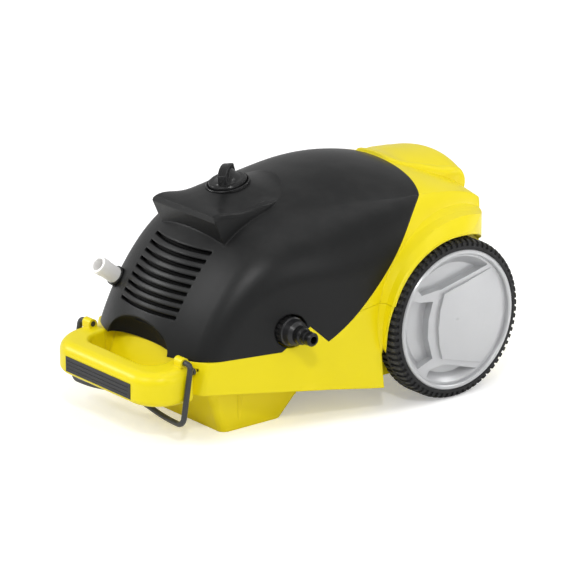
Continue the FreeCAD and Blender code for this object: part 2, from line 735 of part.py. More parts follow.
def tub():
    outer = tub_shell(0)
    shell = outer.cut(tub_shell(WALL))
    deck = box(-FAR, FAR, LOOP_BACK_Y, TONGUE_POINTS[0][0], SEAM_Z - WALL, SEAM_Z)
    shell = shell.fuse(outer.common(deck).cut(arch_form(WALL + FLANGE_RISE)))
    floor = TUB_TAIL_Z + WALL / 2
    inside = tub_shell(WALL / 2)
    adds = []
    for x, y in COVER_POSTS:
        adds.append(rod(x, y, 0, (0, 0, 1), POST_RADIUS, SEAM_Z - SEAT_GAP))
    for x, y in HOOD_POSTS:
        adds.append(rod(x, y, 0, (0, 0, 1), POST_RADIUS, SPLIT_Z - SEAT_GAP))
    block = box(BEARING_IN, WELL_IN - WALL / 2, -BEARING_HALF, BEARING_HALF, floor,
                AXLE_Z + BEARING_HALF)
    adds += [block, mirrored(block)]
    for y in CRADLE_Y:
        rib = box(-52, 52, y - 2, y + 2, floor, DRIVE_Z - 25)
        adds.append(rib.cut(rod(0, y - 3, DRIVE_Z, (0, 1, 0), MOTOR_DIA / 2 + 3.2, 6)))
    for y in PUMP_CRADLE_Y:
        rib = box(-40, 40, y - 2, y + 2, floor, DRIVE_Z - 22)
        adds.append(rib.cut(rod(0, y - 3, DRIVE_Z, (0, 1, 0), PUMP_DIA / 2 + 0.2, 6)))
    for add in adds:
        shell = shell.fuse(add.common(inside))
    drill = rod(-FAR, 0, AXLE_Z, (1, 0, 0), AXLE_DIA / 2 + RUN_FIT, 2 * FAR)
    shell = shell.cut(drill)
    for x, y in COVER_POSTS + HOOD_POSTS:
        shell = shell.cut(rod(x, y, -1, (0, 0, 1), SCREW_DIA / 2 + SEAT_GAP, FAR))
        shell = shell.cut(rod(x, y, -1, (0, 0, 1), SCREW_HEAD / 2 + SEAT_GAP, SCREW_SEAT_Z + 1))
    shell = shell.cut(rod(GLAND_X, 0, GLAND_Z, (0, 1, 0), GLAND_DIA / 2, FAR))
    for x, z in LOOP_SCREWS:
        shell = shell.cut(rod(x, LOOP_BACK_Y - 5, z, (0, 1, 0), SCREW_DIA / 2, 30))
    return shell


def housing_screws():
    screws = []
    for x, y in COVER_POSTS:
        screws.append(screw(x, y, SEAM_Z + 16))
    for x, y in HOOD_POSTS:
        screws.append(screw(x, y, SPLIT_Z + 16))
    return Part.makeCompound(screws)


def screw(x, y, tip):
    shank = rod(x, y, SCREW_SEAT_Z, (0, 0, 1), SCREW_DIA / 2, tip - SCREW_SEAT_Z)
    head = rod(x, y, SCREW_SEAT_Z - 3.2, (0, 0, 1), SCREW_HEAD / 2, 3.2)
    return shank.fuse(head)


# ------------------------------------------------------------------ carrying loop
def loop_side():
    """Side view of the loop: its top falls gently toward the front bar."""
    nose = -NOSE_REACH - 5
    return polygon_prism([(LOOP_BACK_Y, LOOP_UNDER_Z), (LOOP_BACK_Y, DECK_Z), (nose, DECK_NOSE_Z),
                          (nose, LOOP_UNDER_Z)], -FAR, FAR)


def loop_plan(half, front, corner, z0, z1):
    """Rounded U in plan, open toward the tub."""
    body = box(-half, half, front + corner, LOOP_BACK_Y - SEAT_GAP, z0, z1)
    nose = box(corner - half, half - corner, front, front + corner, z0, z1)
    body = body.fuse(nose)
    for x in (corner - half, half - corner):
        body = body.fuse(rod(x, front + corner, z0, (0, 0, 1), corner, z1 - z0))
    return body.removeSplitter()


def carrying_loop():
    front = -NOSE_REACH + GRIP_PROUD
    outer = loop_plan(LOOP_HALF, front, LOOP_CORNER, LOOP_UNDER_Z, FAR).common(loop_side())

    def low_front(edge):
        mid = edge.CenterOfMass
        return mid.y < LOOP_BACK_Y - 1 and mid.z < LOOP_UNDER_Z + 1

    def high_front(edge):
        mid = edge.CenterOfMass
        return mid.y < LOOP_BACK_Y - 1 and mid.z > DECK_NOSE_Z - 0.5

    outer = rounded(outer, LOOP_LOW_ROUND, low_front)
    outer = rounded(outer, LOOP_TOP_ROUND, high_front)
    gap = loop_plan(LOOP_HALF - ARM_WIDE, front + LOOP_DEPTH, GAP_CORNER,
                    LOOP_UNDER_Z - 1, DECK_Z + 1)
    loop = outer.cut(gap.fuse(box(ARM_WIDE - LOOP_HALF, LOOP_HALF - ARM_WIDE, LOOP_BACK_Y - 5,
                                  LOOP_BACK_Y + 5, 0, FAR)))

    def gap_edge(edge):
        mid = edge.CenterOfMass
        ends = mid.z > DECK_NOSE_Z or mid.z < LOOP_UNDER_Z + 1
        inner = abs(mid.x) < LOOP_HALF - ARM_WIDE + 1 and mid.y > front + LOOP_DEPTH - 1
        return ends and inner and mid.y < LOOP_BACK_Y - 1

    loop = rounded(loop, 4.0, gap_edge)
    pocket = box(-GRIP_HALF, GRIP_HALF, front - 5, front + GRIP_DEPTH, GRIP_LOW_Z, GRIP_HIGH_Z)
    loop = loop.cut(pocket)
    for side in (-1, 1):
        middle = side * (PIN_IN + KNUCKLE_LONG / 2)
        ear = box(middle - KNUCKLE_LONG / 2, middle + KNUCKLE_LONG / 2, BAIL_PIVOT_Y - 5.5,
                  LOOP_BACK_Y - SEAT_GAP, DECK_Z - 2, BAIL_PIVOT_Z)
        cap = rod(middle - KNUCKLE_LONG / 2, BAIL_PIVOT_Y, BAIL_PIVOT_Z, (1, 0, 0), 5.5,
                  KNUCKLE_LONG)
        loop = loop.fuse([ear, cap])
    pivot = rod(-FAR, BAIL_PIVOT_Y, BAIL_PIVOT_Z, (1, 0, 0), BAIL_DIA / 2 + RUN_FIT, 2 * FAR)
    sweep = box(PIN_IN + KNUCKLE_LONG, FAR, -FAR, 0, BAIL_PIVOT_Z - 4, FAR)
    loop = loop.cut(pivot).cut(sweep).cut(mirrored(sweep))
    for x, z in LOOP_SCREWS:
        loop = loop.cut(rod(x, LOOP_BACK_Y - 22, z, (0, 1, 0), SCREW_DIA / 2, 30))
    return loop


def grip_insert():
    front = -NOSE_REACH
    back = front + GRIP_PROUD + GRIP_DEPTH
    strip = box(-GRIP_HALF, GRIP_HALF, front, back, GRIP_LOW_Z, GRIP_HIGH_Z)

    def face_edge(edge):
        return edge.CenterOfMass.y < front + 0.1

    strip = rounded(strip, 0.8, face_edge)
    for index in range(GRIP_RIBS):
        z = mix(GRIP_LOW_Z, GRIP_HIGH_Z, (index + 1) / (GRIP_RIBS + 1))
        strip = strip.cut(box(3 - GRIP_HALF, GRIP_HALF - 3, front - 1, front + 0.7, z - 0.5, z + 0.5))
    return strip


def loop_screws():
    screws = []
    for x, z in LOOP_SCREWS:
        shank = rod(x, LOOP_BACK_Y - 18, z, (0, 1, 0), SCREW_DIA / 2, 18 + WALL + SEAT_GAP)
        head = rod(x, LOOP_BACK_Y + WALL + SEAT_GAP, z, (0, 1, 0), SCREW_HEAD / 2, 3.2)
        screws.append(shank.fuse(head))
    return Part.makeCompound(screws)


# ------------------------------------------------------------------ hose bail
def hose_bail():
    """Wire hanger: two pins, two legs and a crossbar, bent from one rod."""
    lean = math.radians(BAIL_LEAN)
    down = V(0, -math.sin(lean), -math.cos(lean))
    pivot = V(0, BAIL_PIVOT_Y, BAIL_PIVOT_Z)
    corner_top = pivot + V(BAIL_HALF, 0, 0)
    corner_low = corner_top + down * BAIL_DROP
    path = [pivot + V(PIN_IN, 0, 0), corner_top, corner_low]
    path += [V(-p.x, p.y, p.z) for p in reversed(path)]
    bends = [BAIL_TOP_BEND, BAIL_BEND, BAIL_BEND, BAIL_TOP_BEND]
    edges = []
    start = path[0]
    for index in range(1, len(path) - 1):
        here = path[index]
        before = (path[index - 1] - here).normalize()
        after = (path[index + 1] - here).normalize()
        radius = bends[index - 1]
        enter = here + before * radius
        leave = here + after * radius
        middle = here + (before + after) * (radius * (1 - math.sqrt(0.5)))
        if index == 3:
            edges += crossbar(start, enter, -down)
        else:
            edges.append(Part.LineSegment(start, enter).toShape())
        edges.append(Part.Arc(enter, middle, leave).toShape())
        start = leave
    edges.append(Part.LineSegment(start, path[-1]).toShape())
    return bent_wire(edges, BAIL_DIA / 2)


def bent_wire(edges, radius):
    """Round wire along straight runs and arcs that follow on without a kink."""
    pieces = []
    for edge in edges:
        begin = edge.valueAt(edge.FirstParameter)
        disc = Part.Face(Part.Wire(Part.makeCircle(radius, begin, edge.tangentAt(edge.FirstParameter))))
        if edge.Curve.TypeId == "Part::GeomLine":
            pieces.append(disc.extrude(edge.valueAt(edge.LastParameter) - begin))
        else:
            angle = math.degrees(edge.Length / edge.Curve.Radius)
            pieces.append(disc.revolve(edge.Curve.Center, edge.Curve.Axis, angle))
    return pieces[0].fuse(pieces[1:])


def crossbar(start, end, upward):
    """Bar between the two lower bends: three arcs that leave both level and rise in the middle."""
    span = (end - start).Length
    turn = 2 * math.atan(2 * BAIL_BOW / span)
    radius = span / 4 / math.sin(turn)
    along = (end - start) * (1 / span)
    ease = along * (radius * math.sin(turn / 2)) + upward * (radius * (1 - math.cos(turn / 2)))
    ease_back = ease - along * (2 * along.dot(ease))
    first = start + along * (span / 4) + upward * (BAIL_BOW / 2)
    last = end - along * (span / 4) + upward * (BAIL_BOW / 2)
    middle = start + along * (span / 2) + upward * BAIL_BOW
    return [Part.Arc(start, start + ease, first).toShape(), Part.Arc(first, middle, last).toShape(),
            Part.Arc(last, end + ease_back, end).toShape()]


# ------------------------------------------------------------------ switch
def to_knob_line(shape):
    """Move a piece built upright at the origin onto the switch's tilted line."""
    shape.rotate(V(0, 0, 0), V(1, 0, 0), KNOB_TILT)
    shape.translate(V(0, POD_SEAT_Y, POD_NOSE_Z + POD_SLOPE * (POD_SEAT_Y - POD_NOSE_Y)))
    return shape


def switch_knob():
    radius = KNOB_DIA / 2
    base = 0.8 - SEAT_SINK
    skirt = lathe([(base, 0), (base, radius), (base + KNOB_SKIRT - 2, radius - 0.6),
                   (base + KNOB_SKIRT - 0.6, radius - 1.6), (base + KNOB_SKIRT, radius - 3.4),
                   (base + KNOB_SKIRT + 0.8, 0)], (0, 0, 0), (0, 0, 1))
    half = PADDLE_LENGTH / 2
    top = base + KNOB_SKIRT + PADDLE_RISE - 5
    sides = [
        Part.LineSegment(V(0, -half, 0), V(0, half, 0)),
        Part.LineSegment(V(0, half, 0), V(0, half - 1.5, top - 5)),
        Part.Arc(V(0, half - 1.5, top - 5), V(0, 0, top), V(0, 1.5 - half, top - 5)),
        Part.LineSegment(V(0, 1.5 - half, top - 5), V(0, -half, 0)),
    ]
    outline = Part.Face(Part.Wire([side.toShape() for side in sides]))
    paddle = outline.extrude(V(PADDLE_THICK, 0, 0))
    paddle.translate(V(-PADDLE_THICK / 2, 0, 0))

    def crest(edge):
        return edge.CenterOfMass.z > 2

    paddle = rounded(paddle, 1.6, crest)
    stem = rod(0, 0, base - STEM_LONG, (0, 0, 1), STEM_DIA / 2, STEM_LONG + 1)
    flat = box(1.5, STEM_DIA, -STEM_DIA, STEM_DIA, base - STEM_LONG - 1, base - STEM_LONG + 9)
    knob = skirt.fuse([paddle, stem]).cut(flat)
    knob.rotate(V(0, 0, 0), V(0, 0, 1), PADDLE_TURN)
    return to_knob_line(knob)


def switch_bezel():
    outer = SEAT_RING_DIA / 2 - 0.05
    inner = outer - SEAT_RING_WALL
    ring = lathe([(-SEAT_SINK, inner), (-SEAT_SINK, outer), (-0.5, outer), (0.1, outer - 0.6),
                  (0.1, inner + 0.7), (-0.6, inner)], (0, 0, 0), (0, 0, 1))
    return to_knob_line(ring)


def switch_body():
    """Sealed rotary switch under the pod, gripping the stem's flat end."""
    top = -SEAT_SINK - WALL - 0.4
    case = box(-17, 17, -15, 15, top - 30, top)
    neck = rod(0, 0, top - 1, (0, 0, 1), 9, 1)
    case = case.fuse(neck).cut(rod(0, 0, top - 22, (0, 0, 1), STEM_DIA / 2 + RUN_FIT, 30))
    tags = []
    for x in (-12, -4, 4, 12):
        tags.append(box(x - 3, x + 3, -0.4, 0.4, top - 38, top - 29))
    return to_knob_line(case.fuse(tags))


# ------------------------------------------------------------------ water inlet
def inlet_stub():
    """Brass stub from the pump head out through the recess floor."""
    profile = [(HEAD_BOSS_X, NIPPLE_BORE / 2), (HEAD_BOSS_X, STUB_DIA / 2),
               (NUT_BACK, STUB_DIA / 2), (NUT_BACK, STUB_DIA / 2 + 1.6),
               (NUT_BACK + 10, STUB_DIA / 2 + 1.6), (NUT_BACK + 10, NIPPLE_BORE / 2 + 2.2),
               (NUT_BACK + 6, NIPPLE_BORE / 2)]
    return lathe(profile, (0, INLET_Y, INLET_Z), (1, 0, 0))


def inlet_filter():
    profile = [(NUT_BACK - 12, 2.2), (NUT_BACK - 12, 3.6), (NUT_BACK + 7, 4.2),
               (NUT_BACK + 7, 3.4), (NUT_BACK - 10, 2.9)]
    return lathe(profile, (0, INLET_Y, INLET_Z), (1, 0, 0))


def inlet_washer():
    return tube(NUT_BACK + 10, INLET_Y, INLET_Z, (1, 0, 0), STUB_DIA / 2 + 1, NIPPLE_BORE / 2, 2)


def union_nut():
    """Nut with a knurled band and a smooth nose that holds the nipple on the stub."""
    back, front = NUT_BACK + 0.5, NUT_BACK + NUT_LENGTH
    band = NUT_BACK + NUT_BAND
    seat = NUT_BACK + FLANGE_FROM + FLANGE_THICK + RUN_FIT
    radius = NUT_DIA / 2
    nose = radius - 1.5
    bore = STUB_DIA / 2 + 1.6 + RUN_FIT
    hole = NIPPLE_DIA / 2 + 0.3
    profile = [(back, bore), (back, radius - 1), (back + 1, radius), (band, radius),
               (band + 1, nose), (front - 4, nose - 1), (front, nose - 4.5), (front, hole),
               (seat, hole), (seat, bore)]
    nut = lathe(profile, (0, INLET_Y, INLET_Z), (1, 0, 0))
    flutes = []
    for index in range(NUT_FLUTES):
        angle = 2 * math.pi * index / NUT_FLUTES
        y = INLET_Y + math.cos(angle) * (radius + 1.0)
        z = INLET_Z + math.sin(angle) * (radius + 1.0)
        flutes.append(rod(back - 1, y, z, (1, 0, 0), 1.9, band - back - 1))
    return nut.cut(Part.makeCompound(flutes))


def inlet_nipple():
    """Quick-connect nipple with a seal groove and a catching collar."""
    flange = NUT_BACK + FLANGE_FROM
    face = flange + FLANGE_THICK
    collar = NUT_BACK + NUT_LENGTH + 0.4
    wide = STUB_DIA / 2 + 1
    r = NIPPLE_DIA / 2
    tip = NIPPLE_TIP
    profile = [(flange, NIPPLE_BORE / 2), (flange, wide), (face, wide), (face, r), (collar, r),
               (collar, r + 2.2), (tip - 18, r + 2.2), (tip - 16, r), (tip - 11, r),
               (tip - 11, r - 1.8), (tip - 8, r - 1.8), (tip - 8, r), (tip - 2, r),
               (tip, r - 1.6), (tip, NIPPLE_BORE / 2)]
    return lathe(profile, (0, INLET_Y, INLET_Z), (1, 0, 0))


# ------------------------------------------------------------------ high-pressure outlet
def on_outlet(profile):
    rise = math.radians(OUTLET_RISE)
    return lathe(profile, (OUTLET_X, OUTLET_Y, OUTLET_Z), (0, -math.cos(rise), math.sin(rise)))


def outlet_sleeve():
    r, bore = SLEEVE_DIA / 2, SLEEVE_BORE / 2
    tip = SLEEVE_PROUD
    return on_outlet([(SLEEVE_BACK, 3.0), (SLEEVE_BACK, r), (tip - 11, r), (tip - 10.4, r + 0.7),
                      (tip - 0.6, r + 0.7), (tip, r + 0.1), (tip, bore + 0.4), (tip - 0.6, bore),
                      (tip - BORE_DEPTH, bore), (tip - BORE_DEPTH, 3.0)])


def outlet_collar():
    r = SLEEVE_DIA / 2
    return on_outlet([(-6, r + RUN_FIT), (-6, r + 1.9), (6, r + 1.9), (7, r + 1.1),
                      (7, r + RUN_FIT)])


def outlet_pipe():
    """Rigid pipe from the pump head to the back of the outlet sleeve."""
    rise = math.radians(OUTLET_RISE)
    along = V(0, -math.cos(rise), math.sin(rise))
    end = V(OUTLET_X, OUTLET_Y, OUTLET_Z) + along * (SLEEVE_BACK + 0.0)
    turn = V(OUTLET_X, OUTLET_Y, OUTLET_Z) + along * (SLEEVE_BACK - 26)
    start = V(-HEAD_BOSS_X, PIPE_Y, PIPE_Z)
    knee = V(OUTLET_X + 8, PIPE_Y, PIPE_Z)
    points = [start, knee, turn, end]
    pieces = []
    for a, b in zip(points, points[1:]):
        pieces.append(Part.makeCylinder(5, (b - a).Length, a, b - a))
    for joint in (knee, turn):
        pieces.append(Part.makeSphere(5, joint))
    pipe = pieces[0].fuse(pieces[1:])
    return pipe


# ------------------------------------------------------------------ wheels, right-hand side
def wheel_rim():
    outer = RIM_DIA / 2
    hub = HUB_DIA / 2
    web = FACE_BACK - 12
    profile = [(TYRE_IN + 1, AXLE_DIA / 2 + RUN_FIT), (TYRE_IN + 1, hub), (web - 2, hub + 1),
               (web - 2, RIM_LIP + 2), (TYRE_IN + 1, RIM_LIP + 2.6), (TYRE_IN + 1, outer),
               (WHEEL_OUT - 1.6, outer), (WHEEL_OUT, outer - 1.4), (WHEEL_OUT, RIM_LIP + 1.2),
               (WHEEL_OUT - 1.2, RIM_LIP), (FACE_BACK, RIM_LIP), (FACE_BACK - 1, RIM_LIP - 1.5),
               (web + 2, RIM_LIP - 1.5), (web + 2, hub), (FACE_BACK - 3, hub - 1),
               (FACE_BACK - 3, AXLE_DIA / 2 + RUN_FIT)]
    return lathe(profile, (0, 0, AXLE_Z), (1, 0, 0))


def wheel_pocket(points, floor_radius, mouth_radius):
    """Recess between the arms with a sloping outer wall."""
    depth = FACE_FRONT - FACE_BACK - FACE_SKIN
    floor = FACE_BACK + FACE_SKIN
    cone = Part.makeCone(floor_radius, mouth_radius + 1, depth + 1, V(floor, 0, AXLE_Z),
                         V(1, 0, 0))
    outline = [(RIM_LIP * a, AXLE_Z + RIM_LIP * b) for a, b in points]
    return polygon_prism(outline, floor, FACE_FRONT + 5).common(cone)


def wheel_face():
    """Moulded wheel face: a big dome with two arms and three recesses."""
    plate = rod(FACE_BACK, 0, AXLE_Z, (1, 0, 0), RIM_LIP, FACE_FRONT - FACE_BACK)
    bulge = lathe([(FACE_FRONT - 2, 0), (FACE_FRONT - 2, RIM_LIP - 3), (FACE_FRONT + 0.4, RIM_LIP - 4),
                   (FACE_FRONT + 2.8, 44), (FACE_FRONT + 3.6, 20), (FACE_FRONT + 3.8, 0)],
                  (0, 0, AXLE_Z), (1, 0, 0))
    dome = [(-0.25, 0.45), (-0.33, 0.2), (-0.36, -0.06), (-0.34, -0.32), (-0.27, -0.56),
            (0.56, -0.80), (1.2, -0.9), (1.2, 0.9), (0.65, 0.66)]
    outline = [(RIM_LIP * a, AXLE_Z + RIM_LIP * b) for a, b in dome]
    face = plate.fuse(bulge.common(polygon_prism(outline, 0, FAR)))
    top = [(-0.66, 0.50), (-0.27, 0.52), (0.60, 0.72), (0.7, 1.2), (-1.2, 1.2)]
    left = [(-0.72, 0.40), (-0.44, 0.36), (-0.52, 0.1), (-0.53, -0.2), (-0.44, -0.52),
            (-0.60, -0.58), (-1.2, -0.8), (-1.2, 0.6)]
    low = [(-0.50, -0.70), (-0.22, -0.66), (0.50, -0.88), (0.6, -1.2), (-0.8, -1.2)]
    for points in (top, left, low):
        face = face.cut(wheel_pocket(points, RIM_LIP - 12, RIM_LIP - 3))
    hollow = lathe([(FACE_BACK - 1, 0), (FACE_BACK - 1, 24), (FACE_FRONT - FACE_SKIN, 20),
                    (FACE_FRONT - FACE_SKIN, 0)], (0, 0, AXLE_Z), (1, 0, 0))
    return face.cut(hollow)


def tyre():
    inner = RIM_DIA / 2
    outer = WHEEL_DIA / 2
    x0, x1 = TYRE_IN, WHEEL_OUT
    profile = [(x0, inner), (x0, outer - 7), (x0 + 4, outer - 1), (x0 + 7, outer), (x1 - 7, outer),
               (x1 - 4, outer - 1), (x1 - 0.5, outer - 7), (x1 - 1.2, inner)]
    ring = lathe(profile, (0, 0, AXLE_Z), (1, 0, 0))
    middle = (x0 + x1) / 2
    grooves = []
    for index in range(TREAD_BLOCKS):
        for side, shift in ((0, 0.0), (1, 0.5)):
            a = x0 - 1 if side == 0 else middle + 1.5
            b = middle - 1.5 if side == 0 else x1 + 1
            groove = box(a, b, -2.4, 2.4, AXLE_Z + outer - TREAD_DEPTH, AXLE_Z + outer + 5)
            groove.rotate(V(0, 0, AXLE_Z), V(1, 0, 0), (index + shift) * 360 / TREAD_BLOCKS)
            grooves.append(groove)
    return ring.cut(Part.makeCompound(grooves))


def axle():
    half = FACE_BACK + 1
    bar = rod(-half, 0, AXLE_Z, (1, 0, 0), AXLE_DIA / 2, 2 * half)
    return bar


def axle_washer():
    start = FACE_BACK - 3 + SEAT_GAP
    return tube(start, 0, AXLE_Z, (1, 0, 0), AXLE_DIA / 2 + 6, AXLE_DIA / 2, 1.5)


# ------------------------------------------------------------------ motor and pump
def drive_tube(y0, y1, radius, bore):
    return tube(0, y0, DRIVE_Z, (0, 1, 0), radius, bore, y1 - y0)


def drive_rod(y0, y1, radius):
    return rod(0, y0, DRIVE_Z, (0, 1, 0), radius, y1 - y0)


def fan_cowl():
    back = MOTOR_BACK_Y + 22
    front = MOTOR_BACK_Y
    outer = MOTOR_DIA / 2 - 2
    cup = drive_tube(front, back, outer, outer - 2).fuse(drive_tube(back - 2, back, outer, 12))
    vents = []
    for index in range(16):
        vent = box(-2.2, 2.2, back - 3, back + 1, DRIVE_Z + 20, DRIVE_Z + 48)
        vent.rotate(V(0, 0, DRIVE_Z), V(0, 1, 0), index * 22.5)
        vents.append(vent)
    return cup.cut(Part.makeCompound(vents))


def fan():
    """Cooling fan on the shaft end."""
    y0, y1 = MOTOR_BACK_Y + 2.5, MOTOR_BACK_Y + 16
    hub = drive_tube(y0, y1, 14, SHAFT_DIA / 2)
    plate = drive_tube(y0, y0 + 2, FAN_DIA / 2, SHAFT_DIA / 2)
    blades = []
    for index in range(FAN_BLADES):
        blade = box(-1, 1, y0, y1, DRIVE_Z + 12, DRIVE_Z + FAN_DIA / 2)
        blade.rotate(V(0, 0, DRIVE_Z), V(0, 1, 0), index * 360 / FAN_BLADES)
        blades.append(blade)
    return plate.fuse([hub] + blades)


def shield(y0, y1):
    """End plate of the motor with its bearing seat and vents."""
    plate = drive_tube(y0, y1, MOTOR_DIA / 2, BEARING_DIA / 2)
    vents = []
    for index in range(6):
        vent = box(-9, 9, y0 - 1, y1 + 1, DRIVE_Z + 30, DRIVE_Z + 45)
        vent.rotate(V(0, 0, DRIVE_Z), V(0, 1, 0), 30 + index * 60)
        vents.append(vent)
    return plate.cut(Part.makeCompound(vents))


def bearing(y0):
    return drive_tube(y0, y0 + 10, BEARING_DIA / 2, SHAFT_DIA / 2)


def stator():
    stack = drive_tube(STACK_Y, STACK_Y + STACK_LENGTH, MOTOR_DIA / 2, STATOR_BORE / 2)
    return stack


def windings():
    inner, outer = STATOR_BORE / 2 + 3, MOTOR_DIA / 2 - 6
    rear = drive_tube(STACK_Y + STACK_LENGTH, STACK_Y + STACK_LENGTH + 10, outer, inner)
    front = drive_tube(STACK_Y - 10, STACK_Y, outer, inner)
    return Part.makeCompound([rear, front])


def rotor():
    core = drive_rod(STACK_Y + 1, STACK_Y + STACK_LENGTH - 1, STATOR_BORE / 2 - AIR_GAP)
    shaft = drive_rod(OIL_CASE_Y - 14, MOTOR_BACK_Y + 18, SHAFT_DIA / 2)
    return core.fuse(shaft)


def oil_case():
    """Wobble-plate case between motor and cylinders."""
    case = drive_rod(BLOCK_Y, OIL_CASE_Y, PUMP_DIA / 2)
    flange = drive_rod(OIL_CASE_Y - 5, OIL_CASE_Y, MOTOR_DIA / 2 - 4)
    return case.fuse(flange).cut(drive_rod(OIL_CASE_Y - 15, OIL_CASE_Y + 1,
                                           SHAFT_DIA / 2 + RUN_FIT))


def cylinder_block():
    return drive_rod(HEAD_Y, BLOCK_Y, PUMP_DIA / 2 - 2)


def valve_head():
    """Pump head with the inlet boss to the right and the outlet boss to the left."""
    head = drive_rod(HEAD_FRONT_Y, HEAD_Y, PUMP_DIA / 2 - 4)
    inlet = rod(0, INLET_Y, INLET_Z, (1, 0, 0), 9.5, HEAD_BOSS_X)
    inlet = inlet.cut(rod(HEAD_BOSS_X - 14, INLET_Y, INLET_Z, (1, 0, 0), NIPPLE_BORE / 2, 20))
    outlet = rod(0, PIPE_Y, PIPE_Z, (-1, 0, 0), 9, HEAD_BOSS_X)
    return head.fuse([inlet, outlet])


def pump_bolts():
    bolts = []
    for index in range(4):
        angle = math.radians(45 + 90 * index)
        x = BOLT_CIRCLE * math.cos(angle)
        z = DRIVE_Z + BOLT_CIRCLE * math.sin(angle)
        bolts.append(rod(x, HEAD_FRONT_Y - 5, z, (0, 1, 0), 4.5, 5))
    return Part.makeCompound(bolts)


def unloader():
    """Unloader valve that stands on top of the pump head."""
    y = (HEAD_Y + HEAD_FRONT_Y) / 2
    base = DRIVE_Z + PUMP_DIA / 2 - 5
    body = rod(0, y, base, (0, 0, 1), 9, 18)
    cap = rod(0, y, base + 18, (0, 0, 1), 6, 5)
    return body.fuse(cap).cut(drive_rod(HEAD_FRONT_Y, HEAD_Y, PUMP_DIA / 2 - 4))


def capacitor():
    return rod(-40, CAPACITOR_Y, CAPACITOR_Z, (1, 0, 0), 20, 80)


def capacitor_strap():
    """Bracket that carries the run capacitor behind the motor."""
    ring = tube(-6, CAPACITOR_Y, CAPACITOR_Z, (1, 0, 0), 22, 20, 12)
    leg = box(-6, 6, CAPACITOR_Y - 2, CAPACITOR_Y + 2, TUB_TAIL_Z + WALL, CAPACITOR_Z - 21)
    return ring.fuse(leg)


def cable_gland():
    """Strain relief where the mains lead leaves the tub; its bore is open."""
    profile = [(GLAND_BACK, 4), (GLAND_BACK, GLAND_DIA / 2), (GLAND_TIP - 6, GLAND_DIA / 2),
               (GLAND_TIP, GLAND_DIA / 2 - 3), (GLAND_TIP, 4)]
    return lathe(profile, (GLAND_X, 0, GLAND_Z), (0, 1, 0))


# ------------------------------------------------------------------ output
def pieces():
    yield "front_cover", front_cover()
    yield "rear_hood", rear_hood()
    yield "tub", tub()
    yield "housing_screws", housing_screws()
    yield "carrying_loop", carrying_loop()
    yield "grip_insert", grip_insert()
    yield "loop_screws", loop_screws()
    yield "hose_bail", hose_bail()
    yield "switch_knob", switch_knob()
    yield "switch_bezel", switch_bezel()
    yield "switch_body", switch_body()
    yield "inlet_stub", inlet_stub()
    yield "inlet_filter", inlet_filter()
    yield "inlet_washer", inlet_washer()
    yield "union_nut", union_nut()
    yield "inlet_nipple", inlet_nipple()
    yield "outlet_sleeve", outlet_sleeve()
    yield "outlet_collar", outlet_collar()
    yield "outlet_pipe", outlet_pipe()
    yield "axle", axle()
    rim, face, rubber, washer = wheel_rim(), wheel_face(), tyre(), axle_washer()
    yield "rim_right", rim
    yield "rim_left", mirrored(rim)
    yield "wheel_face_right", face
    yield "wheel_face_left", mirrored(face)
    yield "tyre_right", rubber
    yield "tyre_left", mirrored(rubber)
    yield "axle_washer_right", washer
    yield "axle_washer_left", mirrored(washer)
    yield "fan_cowl", fan_cowl()
    yield "fan", fan()
    yield "rear_shield", shield(MOTOR_BACK_Y - 12, MOTOR_BACK_Y)
    yield "front_shield", shield(OIL_CASE_Y, OIL_CASE_Y + 12)
    yield "rear_bearing", bearing(MOTOR_BACK_Y - 11)
    yield "front_bearing", bearing(OIL_CASE_Y + 1)
    yield "stator", stator()
    yield "windings", windings()
    yield "rotor", rotor()
    yield "oil_case", oil_case()
    yield "cylinder_block", cylinder_block()
    yield "valve_head", valve_head()
    yield "pump_bolts", pump_bolts()
    yield "unloader", unloader()
    yield "capacitor", capacitor()
    yield "capacitor_strap", capacitor_strap()
    yield "cable_gland", cable_gland()


def main():
    os.makedirs("parts", exist_ok=True)
    for name, shape in pieces():
        placed = shape.translated(V(0, AXLE_Y, 0))
        placed.exportStep("parts/" + name + ".step")


if __name__ == "__main__":
    main()
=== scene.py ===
"""Look of the wheeled pressure washer: finishes, small fitted pieces and a plain studio."""
import logging
import math
from dataclasses import dataclass, field
from enum import Enum
from functools import partial
from typing import Callable

import bmesh
import bpy
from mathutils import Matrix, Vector


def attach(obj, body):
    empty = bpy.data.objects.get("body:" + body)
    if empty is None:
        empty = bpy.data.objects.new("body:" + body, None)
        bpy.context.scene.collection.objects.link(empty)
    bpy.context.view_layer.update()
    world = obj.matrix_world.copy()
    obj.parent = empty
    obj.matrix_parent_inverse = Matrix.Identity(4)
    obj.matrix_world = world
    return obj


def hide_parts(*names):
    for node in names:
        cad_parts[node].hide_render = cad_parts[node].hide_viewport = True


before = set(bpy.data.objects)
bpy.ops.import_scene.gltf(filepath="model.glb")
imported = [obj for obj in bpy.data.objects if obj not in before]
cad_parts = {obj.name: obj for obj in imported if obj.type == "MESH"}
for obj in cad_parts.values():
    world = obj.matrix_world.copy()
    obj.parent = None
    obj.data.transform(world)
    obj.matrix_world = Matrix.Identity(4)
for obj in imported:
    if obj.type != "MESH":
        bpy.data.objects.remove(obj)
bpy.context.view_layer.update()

LOG = logging.getLogger("washer")
MM = 0.001
WHITE = (1.0, 1.0, 1.0, 1.0)

# Lines along X, in the model's metres: the wheels' axle and the water inlet.
AXLE_LINE = (0.0, 0.142, 0.095)
INLET_LINE = (0.0, AXLE_LINE[1] - 0.213, 0.116)

Color = tuple[float, float, float]
Place = tuple[float, float, float]
Sockets = dict[str, bpy.types.NodeSocket]


def place(x: float, y: float, z: float) -> Vector:
    """Turns millimetres, with Y from the axle and Z from the floor, into the model's metres."""
    return Vector((x * MM, y * MM + AXLE_LINE[1], z * MM))


